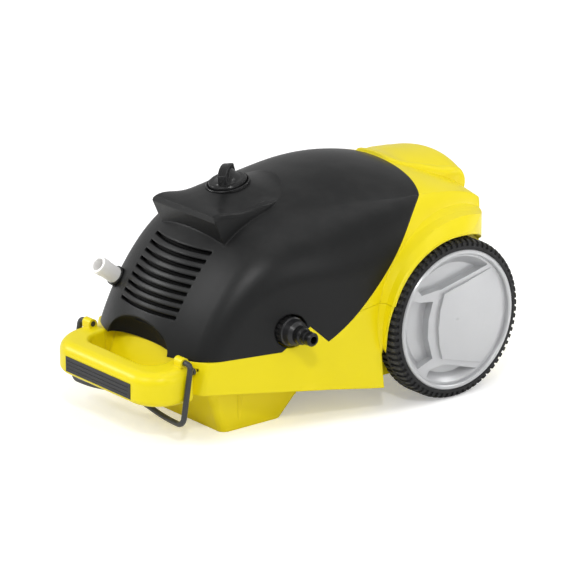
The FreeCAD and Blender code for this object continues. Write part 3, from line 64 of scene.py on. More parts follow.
class Side(Enum):
    """Right and left of the machine, as the sign of X."""

    RIGHT = 1
    LEFT = -1

    @property
    def word(self) -> str:
        """Word that node names use for this side."""
        return self.name.lower()


class Pick(Enum):
    """Kinds of mesh elements that can be selected."""

    EDGE = "edges"
    FACE = "faces"


class Ray(Enum):
    """Light Path outputs that tell what looks at a surface."""

    CAMERA = "Is Camera Ray"
    TRANSMISSION = "Is Transmission Ray"


class Marks(Enum):
    """Marks that its making leaves on a metal."""

    GRAIN = "cast or plated"
    RINGS = "turned"
    LAYERS = "stacked sheets or wound wire"


class Kind(Enum):
    """Socket types of a node group."""

    NUMBER = "NodeSocketFloat"
    COLOR = "NodeSocketColor"
    VECTOR = "NodeSocketVector"


class Blend(Enum):
    """What a Mix node blends: its data type, and the places of two inputs and the output."""

    COLOR = ("RGBA", 6, 7, 2)
    NUMBER = ("FLOAT", 2, 3, 0)


# ---------------------------------------------------------------- node sheets
class Sheet:
    """One node tree with short calls to add and join its nodes, laid out a step apart."""

    STEP = 180
    END = 2600

    def __init__(self, tree: bpy.types.NodeTree) -> None:
        """Takes the tree that the calls work on, and goes on after its last node."""
        self.tree = tree
        self.column = len(tree.nodes)

    def add(self, kind: str, settings: dict | None = None, **values: object) -> bpy.types.Node:
        """Adds a node.

        Args:
            kind: Node type without the ShaderNode prefix.
            settings: Properties of the node itself.
            values: Input values or linked sockets by input name, with _ for a space.

        Returns:
            The new node.
        """
        node = self.tree.nodes.new("ShaderNode" + kind)
        node.location = (self.column * self.STEP, 0)
        self.column += 1
        for key, value in (settings or {}).items():
            setattr(node, key, value)
        for key, value in values.items():
            self.feed(node.inputs[key.replace("_", " ")], value)
        return node

    def feed(self, socket: bpy.types.NodeSocket, value: object) -> None:
        """Links a socket into an input, or sets the input's value.

        Args:
            socket: The input.
            value: Socket, number, colour or vector.
        """
        if isinstance(value, bpy.types.NodeSocket):
            self.tree.links.new(value, socket)
        else:
            socket.default_value = value

    def math(self, operation: str, first: object, second: object = 0.0) -> bpy.types.NodeSocket:
        """Adds a Math node.

        Args:
            operation: Name of the operation.
            first: First number or socket.
            second: Second number or socket.

        Returns:
            The result.
        """
        node = self.add("Math", {"operation": operation})
        self.feed(node.inputs[0], first)
        self.feed(node.inputs[1], second)
        return node.outputs[0]

    def vector(self, operation: str, first: object, second: object = (0.0, 0.0, 0.0)) -> Sockets:
        """Adds a Vector Math node.

        Args:
            operation: Name of the operation.
            first: First vector or socket.
            second: Second vector or socket.

        Returns:
            The outputs Vector and Value by name.
        """
        node = self.add("VectorMath", {"operation": operation})
        self.feed(node.inputs[0], first)
        self.feed(node.inputs[1], second)
        return {socket.name: socket for socket in node.outputs}

    def ramp(self, value: object, low: float, high: float, to_low: float = 0.0,
             to_high: float = 1.0) -> bpy.types.NodeSocket:
        """Maps a value smoothly from one range to another.

        Args:
            value: The value.
            low: Where the range starts.
            high: Where the range ends.
            to_low: Result at the start.
            to_high: Result at the end.

        Returns:
            The mapped value.
        """
        node = self.add("MapRange", {"interpolation_type": "SMOOTHSTEP"}, Value=value,
                        From_Min=low, From_Max=high, To_Min=to_low, To_Max=to_high)
        return node.outputs["Result"]

    def blend(self, share: object, first: object, second: object,
              kind: Blend = Blend.COLOR) -> bpy.types.NodeSocket:
        """Mixes two colours or two numbers.

        Args:
            share: Share of the second one.
            first: Colour or number at a share of 0.
            second: Colour or number at a share of 1.
            kind: What is mixed.

        Returns:
            The mixture.
        """
        data_type, first_place, second_place, result_place = kind.value
        node = self.add("Mix", {"data_type": data_type})
        self.feed(node.inputs[0], share)
        self.feed(node.inputs[first_place], first)
        self.feed(node.inputs[second_place], second)
        return node.outputs[result_place]

    def coordinates(self, scale: Place = (1.0, 1.0, 1.0)) -> bpy.types.NodeSocket:
        """Puts Object coordinates through a Mapping node.

        Args:
            scale: Scale along each axis.

        Returns:
            The mapped coordinates.
        """
        where = self.add("TexCoord")
        mapping = self.add("Mapping", None, Vector=where.outputs["Object"], Scale=scale)
        return mapping.outputs["Vector"]

    def noise(self, scale: object, detail: float,
              stretch: Place = (1.0, 1.0, 1.0)) -> bpy.types.NodeSocket:
        """Adds noise on Object coordinates.

        Args:
            scale: Scale of the noise.
            detail: Number of finer layers.
            stretch: Scale along each axis before that.

        Returns:
            The noise, from 0 to 1.
        """
        node = self.add("TexNoise", None, Vector=self.coordinates(stretch), Scale=scale,
                        Detail=detail)
        return node.outputs["Fac"]


# ---------------------------------------------------------------- shared effects
class Effect:
    """Surface effect that finishes share: a node group, built at its first use.

    Each effect names its inputs with their default values and its outputs with their kinds.
    """

    name = ""
    inputs: dict[str, object] = {}
    outputs: dict[str, Kind] = {}

    def draw(self, sheet: Sheet, given: Sockets) -> Sockets:
        """Draws the nodes; each effect has its own.

        Args:
            sheet: Sheet of the group.
            given: Inputs of the group by name.

        Returns:
            Sockets for the outputs by name.
        """
        raise NotImplementedError

    def tree(self) -> bpy.types.NodeTree:
        """Gives the group, and builds it at the first call.

        Returns:
            The group's tree.
        """
        ready = bpy.data.node_groups.get(self.name)
        if ready:
            return ready
        tree = bpy.data.node_groups.new(self.name, "ShaderNodeTree")
        for key, value in self.inputs.items():
            kind = Kind.NUMBER
            if isinstance(value, tuple):
                kind = Kind.COLOR if len(value) == len(WHITE) else Kind.VECTOR
            socket = tree.interface.new_socket(name=key, in_out="INPUT", socket_type=kind.value)
            socket.default_value = value
        for key, kind in self.outputs.items():
            tree.interface.new_socket(name=key, in_out="OUTPUT", socket_type=kind.value)
        start = tree.nodes.new("NodeGroupInput")
        end = tree.nodes.new("NodeGroupOutput")
        end.location = (Sheet.END, 0)
        sheet = Sheet(tree)
        results = self.draw(sheet, {socket.name: socket for socket in start.outputs if socket.name})
        for key, socket in results.items():
            sheet.feed(end.inputs[key], socket)
        return tree


class MouldGrain(Effect):
    """Fine leather-like grain of a spark-eroded mould."""

    name = "mould_grain"
    inputs = {"Scale": 900.0}
    outputs = {"Height": Kind.NUMBER}
    detail = 3.0
    finer = 1.6

    def draw(self, sheet: Sheet, given: Sockets) -> Sockets:
        """Lays smaller cells over noise.

        Args:
            sheet: Sheet of the group.
            given: Inputs of the group by name.

        Returns:
            The height.
        """
        noise = sheet.noise(given["Scale"], self.detail)
        cells = sheet.add("TexVoronoi", {"feature": "SMOOTH_F1"}, Vector=sheet.coordinates(),
                          Scale=sheet.math("MULTIPLY", given["Scale"], self.finer))
        height = sheet.math("ADD", noise, cells.outputs["Distance"])
        return {"Height": sheet.math("MULTIPLY", height, 0.5)}


class ToneDrift(Effect):
    """Slow change of tone over a large moulding."""

    name = "tone_drift"
    inputs = {"Color": (0.5, 0.5, 0.5, 1.0), "Amount": 0.04, "Scale": 7.0}
    outputs = {"Color": Kind.COLOR}
    detail = 4.0
    span = (0.3, 0.7)

    def draw(self, sheet: Sheet, given: Sockets) -> Sockets:
        """Lets noise drive the value of the colour.

        Args:
            sheet: Sheet of the group.
            given: Inputs of the group by name.

        Returns:
            The colour.
        """
        noise = sheet.noise(given["Scale"], self.detail)
        swing = sheet.math("MULTIPLY", sheet.ramp(noise, *self.span, -1.0, 1.0), given["Amount"])
        tone = sheet.add("HueSaturation", None, Color=given["Color"],
                         Value=sheet.math("ADD", swing, 1.0))
        return {"Color": tone.outputs["Color"]}


class ScuffMarks(Effect):
    """Short handling scratches."""

    name = "scuff_marks"
    inputs = {"Scale": 260.0, "Amount": 0.5}
    outputs = {"Mask": Kind.NUMBER}
    stretches = ((1.0, 0.08, 0.3), (0.3, 1.0, 0.08))
    detail = 5.0
    cut = (0.62, 0.7)
    patch_scale = 18.0
    patch_detail = 2.0
    patch_cut = (0.45, 0.65)

    def draw(self, sheet: Sheet, given: Sockets) -> Sockets:
        """Cuts two stretched noises to thin marks, and keeps them in patches.

        Args:
            sheet: Sheet of the group.
            given: Inputs of the group by name.

        Returns:
            The mask.
        """
        marks = [sheet.ramp(sheet.noise(given["Scale"], self.detail, stretch), *self.cut)
                 for stretch in self.stretches]
        where = sheet.ramp(sheet.noise(self.patch_scale, self.patch_detail), *self.patch_cut)
        both = sheet.math("MAXIMUM", *marks)
        return {"Mask": sheet.math("MULTIPLY", sheet.math("MULTIPLY", both, where),
                                   given["Amount"])}


class SettledDust(Effect):
    """Thin dust on faces that look up."""

    name = "settled_dust"
    inputs = {"Amount": 0.1}
    outputs = {"Mask": Kind.NUMBER}
    scale = 45.0
    detail = 6.0
    cut = (0.38, 0.72)
    slope = (0.25, 1.0)

    def draw(self, sheet: Sheet, given: Sockets) -> Sockets:
        """Breaks the upward share of the normal with noise.

        Args:
            sheet: Sheet of the group.
            given: Inputs of the group by name.

        Returns:
            The mask.
        """
        geometry = sheet.add("NewGeometry")
        split = sheet.add("SeparateXYZ", None, Vector=geometry.outputs["Normal"])
        up = sheet.ramp(split.outputs["Z"], *self.slope)
        patchy = sheet.ramp(sheet.noise(self.scale, self.detail), *self.cut)
        return {"Mask": sheet.math("MULTIPLY", sheet.math("MULTIPLY", up, patchy),
                                   given["Amount"])}


class EdgeRound(Effect):
    """Small rounding of every moulded or cut edge."""

    name = "edge_round"
    inputs = {"Radius": 0.001}
    outputs = {"Normal": Kind.VECTOR}
    samples = 6

    def draw(self, sheet: Sheet, given: Sockets) -> Sockets:
        """Takes the normal of a Bevel node.

        Args:
            sheet: Sheet of the group.
            given: Inputs of the group by name.

        Returns:
            The normal.
        """
        bevel = sheet.add("Bevel", {"samples": self.samples}, Radius=given["Radius"])
        return {"Normal": bevel.outputs["Normal"]}


class TurnedRings(Effect):
    """Rings about the axle or another line along X."""

    name = "turned_rings"
    inputs = {"Centre": AXLE_LINE, "Pitch": 0.003}
    outputs = {"Height": Kind.NUMBER, "Radius": Kind.NUMBER}

    def draw(self, sheet: Sheet, given: Sockets) -> Sockets:
        """Takes the sine of the distance from the line.

        Args:
            sheet: Sheet of the group.
            given: Inputs of the group by name.

        Returns:
            The height and the distance.
        """
        away = sheet.vector("SUBTRACT", sheet.coordinates(), given["Centre"])["Vector"]
        flat = sheet.vector("MULTIPLY", away, (0.0, 1.0, 1.0))["Vector"]
        radius = sheet.vector("LENGTH", flat)["Value"]
        turns = sheet.math("DIVIDE", radius, given["Pitch"])
        wave = sheet.math("SINE", sheet.math("MULTIPLY", turns, 2 * math.pi))
        return {"Height": sheet.ramp(wave, -1.0, 1.0), "Radius": radius}


class EvenLayers(Effect):
    """Even bands along one direction, such as sheet iron or wire."""

    name = "even_layers"
    inputs = {"Direction": (0.0, 1.0, 0.0), "Pitch": 0.002}
    outputs = {"Height": Kind.NUMBER}
    cut = (-0.6, 0.6)

    def draw(self, sheet: Sheet, given: Sockets) -> Sockets:
        """Takes the sine along the direction.

        Args:
            sheet: Sheet of the group.
            given: Inputs of the group by name.

        Returns:
            The height.
        """
        along = sheet.vector("DOT_PRODUCT", sheet.coordinates(), given["Direction"])["Value"]
        turns = sheet.math("DIVIDE", along, given["Pitch"])
        wave = sheet.math("SINE", sheet.math("MULTIPLY", turns, 2 * math.pi))
        return {"Height": sheet.ramp(wave, *self.cut)}


class PaintFlakes(Effect):
    """Sparkle of a metallic paint."""

    name = "paint_flakes"
    inputs = {"Scale": 5200.0}
    outputs = {"Mask": Kind.NUMBER}
    cut = (0.55, 1.0)

    def draw(self, sheet: Sheet, given: Sockets) -> Sockets:
        """Takes the random value of small cells.

        Args:
            sheet: Sheet of the group.
            given: Inputs of the group by name.

        Returns:
            The mask.
        """
        cells = sheet.add("TexVoronoi", None, Vector=sheet.coordinates(), Scale=given["Scale"])
        value = sheet.add("SeparateColor", None, Color=cells.outputs["Color"])
        return {"Mask": sheet.ramp(value.outputs[0], *self.cut)}


# ---------------------------------------------------------------- finishes
@dataclass(frozen=True)
class Finish:
    """What all finishes share: colour, gloss, rounded edges, drift of tone and grain.

    Lengths are in metres. The swing is how far the roughness goes below and above its value.
    """

    name: str
    color: Color
    roughness: float = 0.4
    specular: float = 0.5
    edge: float = 0.0008
    drift: float = 0.08
    drift_scale: float = 25.0
    grain: float = 1200.0
    depth: float = 0.00008
    swing: tuple[float, float] = (0.05, 0.08)
    grain_span: tuple[float, float] = (0.3, 0.7)

    def start(self) -> tuple[bpy.types.Material, Sheet, bpy.types.Node]:
        """Makes the material with its shader.

        Returns:
            The material, its sheet and its Principled shader.
        """
        material = bpy.data.materials.new(self.name)
        material.use_nodes = True
        material.node_tree.nodes.clear()
        sheet = Sheet(material.node_tree)
        shader = sheet.add("BsdfPrincipled", None, Specular_IOR_Level=self.specular)
        output = sheet.add("OutputMaterial", None, Surface=shader.outputs["BSDF"])
        output.location = (Sheet.END, 0)
        return material, sheet, shader

    def effect(self, sheet: Sheet, effect: Effect, **values: object) -> Sockets:
        """Places a shared effect with this finish's own values.

        Args:
            sheet: Sheet of the material.
            effect: The effect.
            values: Values or linked sockets by input name.

        Returns:
            The effect's outputs by name.
        """
        node = sheet.add("Group")
        node.node_tree = effect.tree()
        for key, value in values.items():
            sheet.feed(node.inputs[key], value)
        return {socket.name: socket for socket in node.outputs}

    def tone(self, sheet: Sheet) -> bpy.types.NodeSocket:
        """This finish's colour with its slow drift."""
        return self.effect(sheet, ToneDrift(), Color=(*self.color, 1.0), Amount=self.drift,
                           Scale=self.drift_scale)["Color"]

    def mould_grain(self, sheet: Sheet) -> bpy.types.NodeSocket:
        """Height of this finish's grain."""
        return self.effect(sheet, MouldGrain(), Scale=self.grain)["Height"]

    def uneven(self, sheet: Sheet, grain: bpy.types.NodeSocket) -> bpy.types.NodeSocket:
        """Roughness that swings with the grain."""
        less, more = self.swing
        return sheet.ramp(grain, *self.grain_span, self.roughness - less, self.roughness + more)

    def relief(self, sheet: Sheet, shader: bpy.types.Node, height: bpy.types.NodeSocket,
               depth: float) -> None:
        """Feeds a height through Bump over the rounded edges into the shader's normal.

        Args:
            sheet: Sheet of the material.
            shader: Its Principled shader.
            height: The height, from 0 to 1.
            depth: What a height of 1 measures.
        """
        rounding = self.effect(sheet, EdgeRound(), Radius=self.edge)["Normal"]
        bump = sheet.add("Bump", None, Height=height, Normal=rounding, Strength=1.0, Distance=depth)
        sheet.feed(shader.inputs["Normal"], bump.outputs["Normal"])

    def make(self) -> bpy.types.Material:
        """Makes the material; each kind of finish draws its own."""
        raise NotImplementedError


@dataclass(frozen=True)
class Moulding(Finish):
    """Injection-moulded plastic or rubber with a fine grain."""

    drift: float = 0.03
    drift_scale: float = 7.0
    grain: float = 900.0
    swing: tuple[float, float] = (0.04, 0.05)
    dust: float = 0.05
    dust_color: Color = (0.45, 0.44, 0.42)
    scuff: float = 0.2
    scuff_roughness: float = 0.12

    def make(self) -> bpy.types.Material:
        """Draws tone, dust, handling marks and grain.

        Returns:
            The material.
        """
        material, sheet, shader = self.start()
        tone = self.tone(sheet)
        dust = self.effect(sheet, SettledDust(), Amount=self.dust)["Mask"]
        marks = self.effect(sheet, ScuffMarks(), Amount=self.scuff)["Mask"]
        sheet.feed(shader.inputs["Base Color"], sheet.blend(dust, tone, (*self.dust_color, 1.0)))
        grain = self.mould_grain(sheet)
        rubbed = sheet.math("MULTIPLY", marks, self.scuff_roughness)
        worn = sheet.math("ADD", self.uneven(sheet, grain), rubbed)
        sheet.feed(shader.inputs["Roughness"], worn)
        self.relief(sheet, shader, sheet.math("SUBTRACT", grain, marks), self.depth)
        return material


@dataclass(frozen=True)
class Knurled(Moulding):
    """Moulding with a diamond knurl on a band about a line along X.

    The knurl is where two slanted waves cross. Their phase grows with the angle round the line,
    times around, and with the metres along it, times along.
    """

    line: Place = INLET_LINE
    band: tuple[float, float] = (0.1125, 0.1285)
    band_fade: float = 0.0005
    around: float = 60.0
    along: float = 3600.0
    knurl_depth: float = 0.0007

    def make(self) -> bpy.types.Material:
        """Draws the knurl under the moulding's own grain.

        Returns:
            The material.
        """
        material = super().make()
        sheet = Sheet(material.node_tree)
        where = sheet.add("SeparateXYZ", None, Vector=sheet.coordinates()).outputs
        across = sheet.math("SUBTRACT", where["Y"], self.line[1])
        up = sheet.math("SUBTRACT", where["Z"], self.line[2])
        turn = sheet.math("MULTIPLY", sheet.math("ARCTAN2", across, up), self.around)
        reach = sheet.math("MULTIPLY", where["X"], self.along)
        grooves = [sheet.math("ABSOLUTE", sheet.math("SINE", sheet.math(slant, turn, reach)))
                   for slant in ("ADD", "SUBTRACT")]
        low, high = self.band
        inside = sheet.math("MULTIPLY", sheet.ramp(where["X"], low, low + self.band_fade),
                            sheet.ramp(where["X"], high, high + self.band_fade, 1.0, 0.0))
        height = sheet.math("MULTIPLY", sheet.math("MINIMUM", *grooves), inside)
        bump = next(node for node in material.node_tree.nodes if node.type == "BUMP")
        under = sheet.add("Bump", None, Height=height, Strength=1.0, Distance=self.knurl_depth,
                          Normal=bump.inputs["Normal"].links[0].from_socket)
        sheet.feed(bump.inputs["Normal"], under.outputs["Normal"])
        return material


@dataclass(frozen=True)
class TyreRubber(Finish):
    """Dark rubber with moulded rings on the side walls and a worn tread."""

    drift: float = 0.10
    drift_scale: float = 30.0
    grain: float = 700.0
    depth: float = 0.0004
    swing: tuple[float, float] = (0.06, 0.08)
    grain_share: float = 0.35
    ring_pitch: float = 0.0036
    tread_from: float = 0.0925
    tread_fade: float = 0.0015
    worn_color: Color = (0.09, 0.09, 0.088)
    worn_span: tuple[float, float] = (0.4, 0.6)
    worn_least: float = 0.3

    def make(self) -> bpy.types.Material:
        """Draws rings that fade out on the tread, which is a little lighter.

        Returns:
            The material.
        """
        material, sheet, shader = self.start()
        rings = self.effect(sheet, TurnedRings(), Pitch=self.ring_pitch)
        tread = sheet.ramp(rings["Radius"], self.tread_from, self.tread_from + self.tread_fade)
        tone = self.tone(sheet)
        grain = self.mould_grain(sheet)
        share = sheet.math("MULTIPLY", tread,
                           sheet.ramp(grain, *self.worn_span, self.worn_least, 1.0))
        sheet.feed(shader.inputs["Base Color"], sheet.blend(share, tone, (*self.worn_color, 1.0)))
        sheet.feed(shader.inputs["Roughness"], self.uneven(sheet, grain))
        wall = sheet.math("SUBTRACT", 1.0, tread)
        height = sheet.math("ADD", sheet.math("MULTIPLY", rings["Height"], wall),
                            sheet.math("MULTIPLY", grain, self.grain_share))
        self.relief(sheet, shader, height, self.depth)
        return material


@dataclass(frozen=True)
class SilverPaint(Finish):
    """Metallic paint on the moulded wheel."""

    drift: float = 0.03
    drift_scale: float = 14.0
    grain: float = 1500.0
    depth: float = 0.0000004
    swing: tuple[float, float] = (0.01, 0.01)
    metallic: float = 0.45
    coat: float = 0.25
    coat_roughness: float = 0.18
    flake_color: Color = (0.86, 0.87, 0.88)
    flake_share: float = 0.02

    def make(self) -> bpy.types.Material:
        """Draws flakes that lighten the base and break up its gloss.

        Returns:
            The material.
        """
        material, sheet, shader = self.start()
        shader.inputs["Metallic"].default_value = self.metallic
        shader.inputs["Coat Weight"].default_value = self.coat
        shader.inputs["Coat Roughness"].default_value = self.coat_roughness
        tone = self.tone(sheet)
        flakes = self.effect(sheet, PaintFlakes())["Mask"]
        share = sheet.math("MULTIPLY", flakes, self.flake_share)
        sheet.feed(shader.inputs["Base Color"], sheet.blend(share, tone, (*self.flake_color, 1.0)))
        less, more = self.swing
        gloss = sheet.ramp(flakes, 0.0, 1.0, self.roughness + more, self.roughness - less)
        sheet.feed(shader.inputs["Roughness"], gloss)
        self.relief(sheet, shader, self.mould_grain(sheet), self.depth)
        return material


@dataclass(frozen=True)
class Metal(Finish):
    """Bare or plated metal, by the marks of its making.

    Rings go round a centre line along X, layers lie across a direction, and both a pitch apart.
    """

    drift_scale: float = 60.0
    grain: float = 2600.0
    depth: float = 0.00002
    swing: tuple[float, float] = (0.05, 0.1)
    marks: Marks = Marks.GRAIN
    pitch: float = 0.0008
    direction: Place = (0.0, 1.0, 0.0)
    centre: Place = AXLE_LINE
    ring_depth: float = 0.00003
    layer_share: float = 0.3
    scuff: float = 0.6
    scuff_scale: float = 500.0
    dull_shade: float = 0.6
    dull_share: float = 0.5

    def make(self) -> bpy.types.Material:
        """Draws tone, tarnish and the marks of making.

        Returns:
            The material.
        """
        material, sheet, shader = self.start()
        shader.inputs["Metallic"].default_value = 1.0
        tone = self.tone(sheet)
        scuffs = self.effect(sheet, ScuffMarks(), Amount=self.scuff, Scale=self.scuff_scale)["Mask"]
        grain = self.mould_grain(sheet)
        dull = tuple(part * self.dull_shade for part in self.color)
        share = sheet.math("MULTIPLY", scuffs, self.dull_share)
        sheet.feed(shader.inputs["Base Color"], sheet.blend(share, tone, (*dull, 1.0)))
        sheet.feed(shader.inputs["Roughness"], self.uneven(sheet, grain))
        if self.marks is Marks.RINGS:
            rings = self.effect(sheet, TurnedRings(), Centre=self.centre, Pitch=self.pitch)
            self.relief(sheet, shader, rings["Height"], self.ring_depth)
        elif self.marks is Marks.LAYERS:
            layers = self.effect(sheet, EvenLayers(), Direction=self.direction, Pitch=self.pitch)
            self.relief(sheet, shader, layers["Height"], self.pitch * self.layer_share)
        else:
            self.relief(sheet, shader, grain, self.depth)
        return material


@dataclass(frozen=True)
class GripStrip(Finish):
    """Soft strip with fine ribs along its length."""

    depth: float = 0.00006
    rib_pitch: float = 0.0015
    grain_share: float = 0.3
    valley_painted_shade: float = 0.9

    def make(self) -> bpy.types.Material:
        """Draws ribs stacked in height over a rubbery grain, with painted shade in the valleys.

        Returns:
            The material.
        """
        material, sheet, shader = self.start()
        ribs = self.effect(sheet, EvenLayers(), Direction=(0.0, 0.0, 1.0),
                           Pitch=self.rib_pitch)["Height"]
        grain = self.mould_grain(sheet)
        tone = self.tone(sheet)
        # The valleys between the ribs are painted darker: painted shade.
        painted_valley = tuple(part * self.valley_painted_shade for part in self.color)
        sheet.feed(shader.inputs["Base Color"], sheet.blend(ribs, (*painted_valley, 1.0), tone))
        sheet.feed(shader.inputs["Roughness"], self.uneven(sheet, grain))
        height = sheet.math("ADD", ribs, sheet.math("MULTIPLY", grain, self.grain_share))
        self.relief(sheet, shader, height, self.depth)
        return material


@dataclass(frozen=True)
class Gauze(Finish):
    """Woven filter gauze."""

    depth: float = 0.0002
    metallic: float = 0.9
    pitch: float = 0.0007
    wires: tuple[Place, Place] = ((1.0, 0.0, 0.0), (0.0, 0.7, 0.7))
    gap_color: Color = (0.02, 0.02, 0.02)
    gap_roughness: float = 0.8

    def make(self) -> bpy.types.Material:
        """Draws two sets of wires with dark gaps between them.

        Returns:
            The material.
        """
        material, sheet, shader = self.start()
        shader.inputs["Metallic"].default_value = self.metallic
        sets = [self.effect(sheet, EvenLayers(), Direction=direction, Pitch=self.pitch)["Height"]
                for direction in self.wires]
        height = sheet.math("MAXIMUM", *sets)
        sheet.feed(shader.inputs["Base Color"],
                   sheet.blend(height, (*self.gap_color, 1.0), (*self.color, 1.0)))
        gloss = sheet.ramp(height, 0.0, 1.0, self.gap_roughness, self.roughness)
        sheet.feed(shader.inputs["Roughness"], gloss)
        self.relief(sheet, shader, height, self.depth)
        return material


FINISHES: tuple[Finish, ...] = (
    Moulding("black_shell", (0.0072, 0.0075, 0.0077), roughness=0.36, specular=0.27, edge=0.0026,
             grain=1100.0, depth=0.00010, drift=0.10, dust=0.012, scuff=0.15),
    Moulding("yellow_shell", (0.83, 0.69, 0.003), roughness=0.34, specular=0.30, edge=0.0022,
             grain=700.0, depth=0.00004, drift=0.02, dust=0.02,
             dust_color=(0.75, 0.68, 0.30), scuff=0.12),
    Moulding("matt_black", (0.0070, 0.0070, 0.0074), roughness=0.60, specular=0.10, edge=0.0006,
             grain=1100.0, depth=0.00006, drift=0.08, dust=0.01, scuff=0.1),
    GripStrip("grey_grip", (0.050, 0.050, 0.052), roughness=0.62, specular=0.3),
    Moulding("black_part", (0.0065, 0.0065, 0.0070), roughness=0.28, specular=0.36, edge=0.0007,
             grain=1800.0, depth=0.00003, drift=0.08, dust=0.01, scuff=0.2),
    Knurled("knurled_nut", (0.010, 0.010, 0.011), roughness=0.34, specular=0.45, edge=0.0006,
            grain=1800.0, depth=0.00002, drift=0.08, dust=0.0, scuff=0.1),
    Moulding("bail_wire", (0.035, 0.037, 0.039), roughness=0.38, specular=0.45, edge=0.0003,
             grain=1500.0, depth=0.00005, drift=0.10, drift_scale=40.0, dust=0.02, scuff=0.5),
    Metal("zinc_steel", (0.62, 0.63, 0.65), roughness=0.28, edge=0.0003),
    Metal("brass", (0.72, 0.53, 0.24), roughness=0.26, edge=0.0003, marks=Marks.RINGS,
          centre=INLET_LINE, pitch=0.0009),
    Moulding("seal_rubber", (0.018, 0.018, 0.018), roughness=0.6, specular=0.3, edge=0.0003,
             grain=2000.0, depth=0.00003, drift=0.06, dust=0.0, scuff=0.0),
    Gauze("filter_mesh", (0.60, 0.60, 0.60), roughness=0.35, edge=0.0001),
    Moulding("white_sleeve", (0.93, 0.92, 0.90), roughness=0.34, specular=0.45, edge=0.0005,
             grain=1600.0, depth=0.00003, drift_scale=30.0, dust_color=(0.55, 0.50, 0.40),
             scuff=0.3),
    TyreRubber("tyre_tread", (0.030, 0.030, 0.031), roughness=0.74, specular=0.20, edge=0.0006),
    SilverPaint("silver_wheel", (0.52, 0.525, 0.535), roughness=0.34, edge=0.0010),
    Metal("shield_aluminium", (0.70, 0.71, 0.72), roughness=0.42, edge=0.0005, grain=1400.0,
          depth=0.00015),
    Metal("motor_iron", (0.18, 0.18, 0.19), roughness=0.45, edge=0.0002, marks=Marks.LAYERS,
          pitch=0.0010),
    Metal("copper_wire", (0.70, 0.36, 0.20), roughness=0.30, edge=0.0002, marks=Marks.LAYERS,
          pitch=0.0016, direction=(0.6, 0.0, 0.8)),
    Metal("bearing_steel", (0.70, 0.70, 0.72), roughness=0.18, edge=0.0003),
    Moulding("fan_plastic", (0.03, 0.03, 0.034), roughness=0.42, edge=0.0004, grain=1500.0,
             depth=0.00004, drift=0.06, scuff=0.1),
    Moulding("capacitor_case", (0.62, 0.62, 0.60), roughness=0.36, edge=0.0006, grain=1700.0,
             depth=0.00003, scuff=0.1),
)


class Shelf:
    """Holds the made materials by the name of their finish."""

    def __init__(self) -> None:
        """Makes every finish once."""
        self.materials = {finish.name: finish.make() for finish in FINISHES}

    def dress(self, piece: bpy.types.Object, name: str) -> None:
        """Gives a piece one finish in all its material slots.

        Args:
            piece: The piece, new or carried over.
            name: Name of the finish.
        """
        if not piece.material_slots:
            piece.data.materials.append(self.materials[name])
        for slot in piece.material_slots:
            slot.material = self.materials[name]


# ---------------------------------------------------------------- bench
class Bench:
    """Modelling by hand: primitives and edit mode.

    A speck is the plane that is merged to a point. Points nearer than a weld are one. Both are in
    metres.
    """

    SPECK = 0.0001
    WELD = 0.000005

    def clear(self) -> None:
        """Leaves edit mode and deselects everything."""
        if bpy.context.object and bpy.context.object.mode != "OBJECT":
            bpy.ops.object.mode_set(mode="OBJECT")
        bpy.ops.object.select_all(action="DESELECT")

    def take(self, name: str) -> bpy.types.Object:
        """Names the primitive just added, settles its place in its mesh and opens it for editing.

        Args:
            name: Name of the piece.

        Returns:
            The piece, in edit mode with all of it selected.
        """
        piece = bpy.context.object
        piece.name = name
        piece.data.name = name
        bpy.ops.object.transform_apply(location=True, rotation=True, scale=True)
        bpy.ops.object.mode_set(mode="EDIT")
        bpy.ops.mesh.select_all(action="SELECT")
        return piece

    def point(self, name: str, location: Vector) -> bpy.types.Object:
        """Starts a piece that is spun from a single point.

        Args:
            name: Name of the piece.
            location: Where the point lies.

        Returns:
            The piece, in edit mode with the point selected.
        """
        self.clear()
        bpy.ops.mesh.primitive_plane_add(size=self.SPECK, location=location)
        piece = self.take(name)
        bpy.ops.mesh.merge(type="CENTER")
        return piece

    def choose(self, piece: bpy.types.Object, kind: Pick,
               wanted: Callable[[bmesh.types.BMEdge | bmesh.types.BMFace], bool]) -> None:
        """Selects the edges or faces that a test picks.

        Args:
            piece: The piece, in edit mode.
            kind: What is selected.
            wanted: The test.
        """
        bpy.ops.mesh.select_mode(type=kind.name)
        bpy.ops.mesh.select_all(action="DESELECT")
        mesh = bmesh.from_edit_mesh(piece.data)
        for element in getattr(mesh, kind.value):
            element.select = wanted(element)
        mesh.select_flush_mode()
        bmesh.update_edit_mesh(piece.data)

    def close(self, angle: float) -> None:
        """Merges the doubles of the piece in edit mode, turns its faces outwards and shades it.

        Args:
            angle: Degrees from which an edge stays sharp.
        """
        bpy.ops.mesh.select_all(action="SELECT")
        bpy.ops.mesh.remove_doubles(threshold=self.WELD)
        bpy.ops.mesh.normals_make_consistent(inside=False)
        bpy.ops.object.mode_set(mode="OBJECT")
        bpy.ops.object.shade_smooth_by_angle(angle=math.radians(angle))


# ---------------------------------------------------------------- sub-assemblies
@dataclass
class SubAssembly:
    """Pieces that are made and dressed together; sizes in millimetres, angles in degrees.

    The looks give each carried-over node its finish.
    """

    shelf: Shelf
    bench: Bench
    looks: dict[str, str] = field(default_factory=dict)

    def dress(self) -> None:
        """Gives each carried-over node its finish."""
        for node, finish in self.looks.items():
            self.shelf.dress(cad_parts[node], finish)
            LOG.info("%s: %s", node, finish)

    def fit(self, piece: bpy.types.Object, body: str, slot: str, finish: str = "") -> None:
        """Puts a new piece on its body with its finish.

        Args:
            piece: The new piece.
            body: The body that it rides on.
            slot: The record's material slot, whose name is the finish where no other is given.
            finish: Name of the finish, where it isn't the slot's own.
        """
        self.shelf.dress(piece, finish or slot)
        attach(piece, body)
        LOG.info("%s: new piece on %s", piece.name, body)

    def build(self) -> None:
        """Builds new pieces; a sub-assembly without any keeps this."""


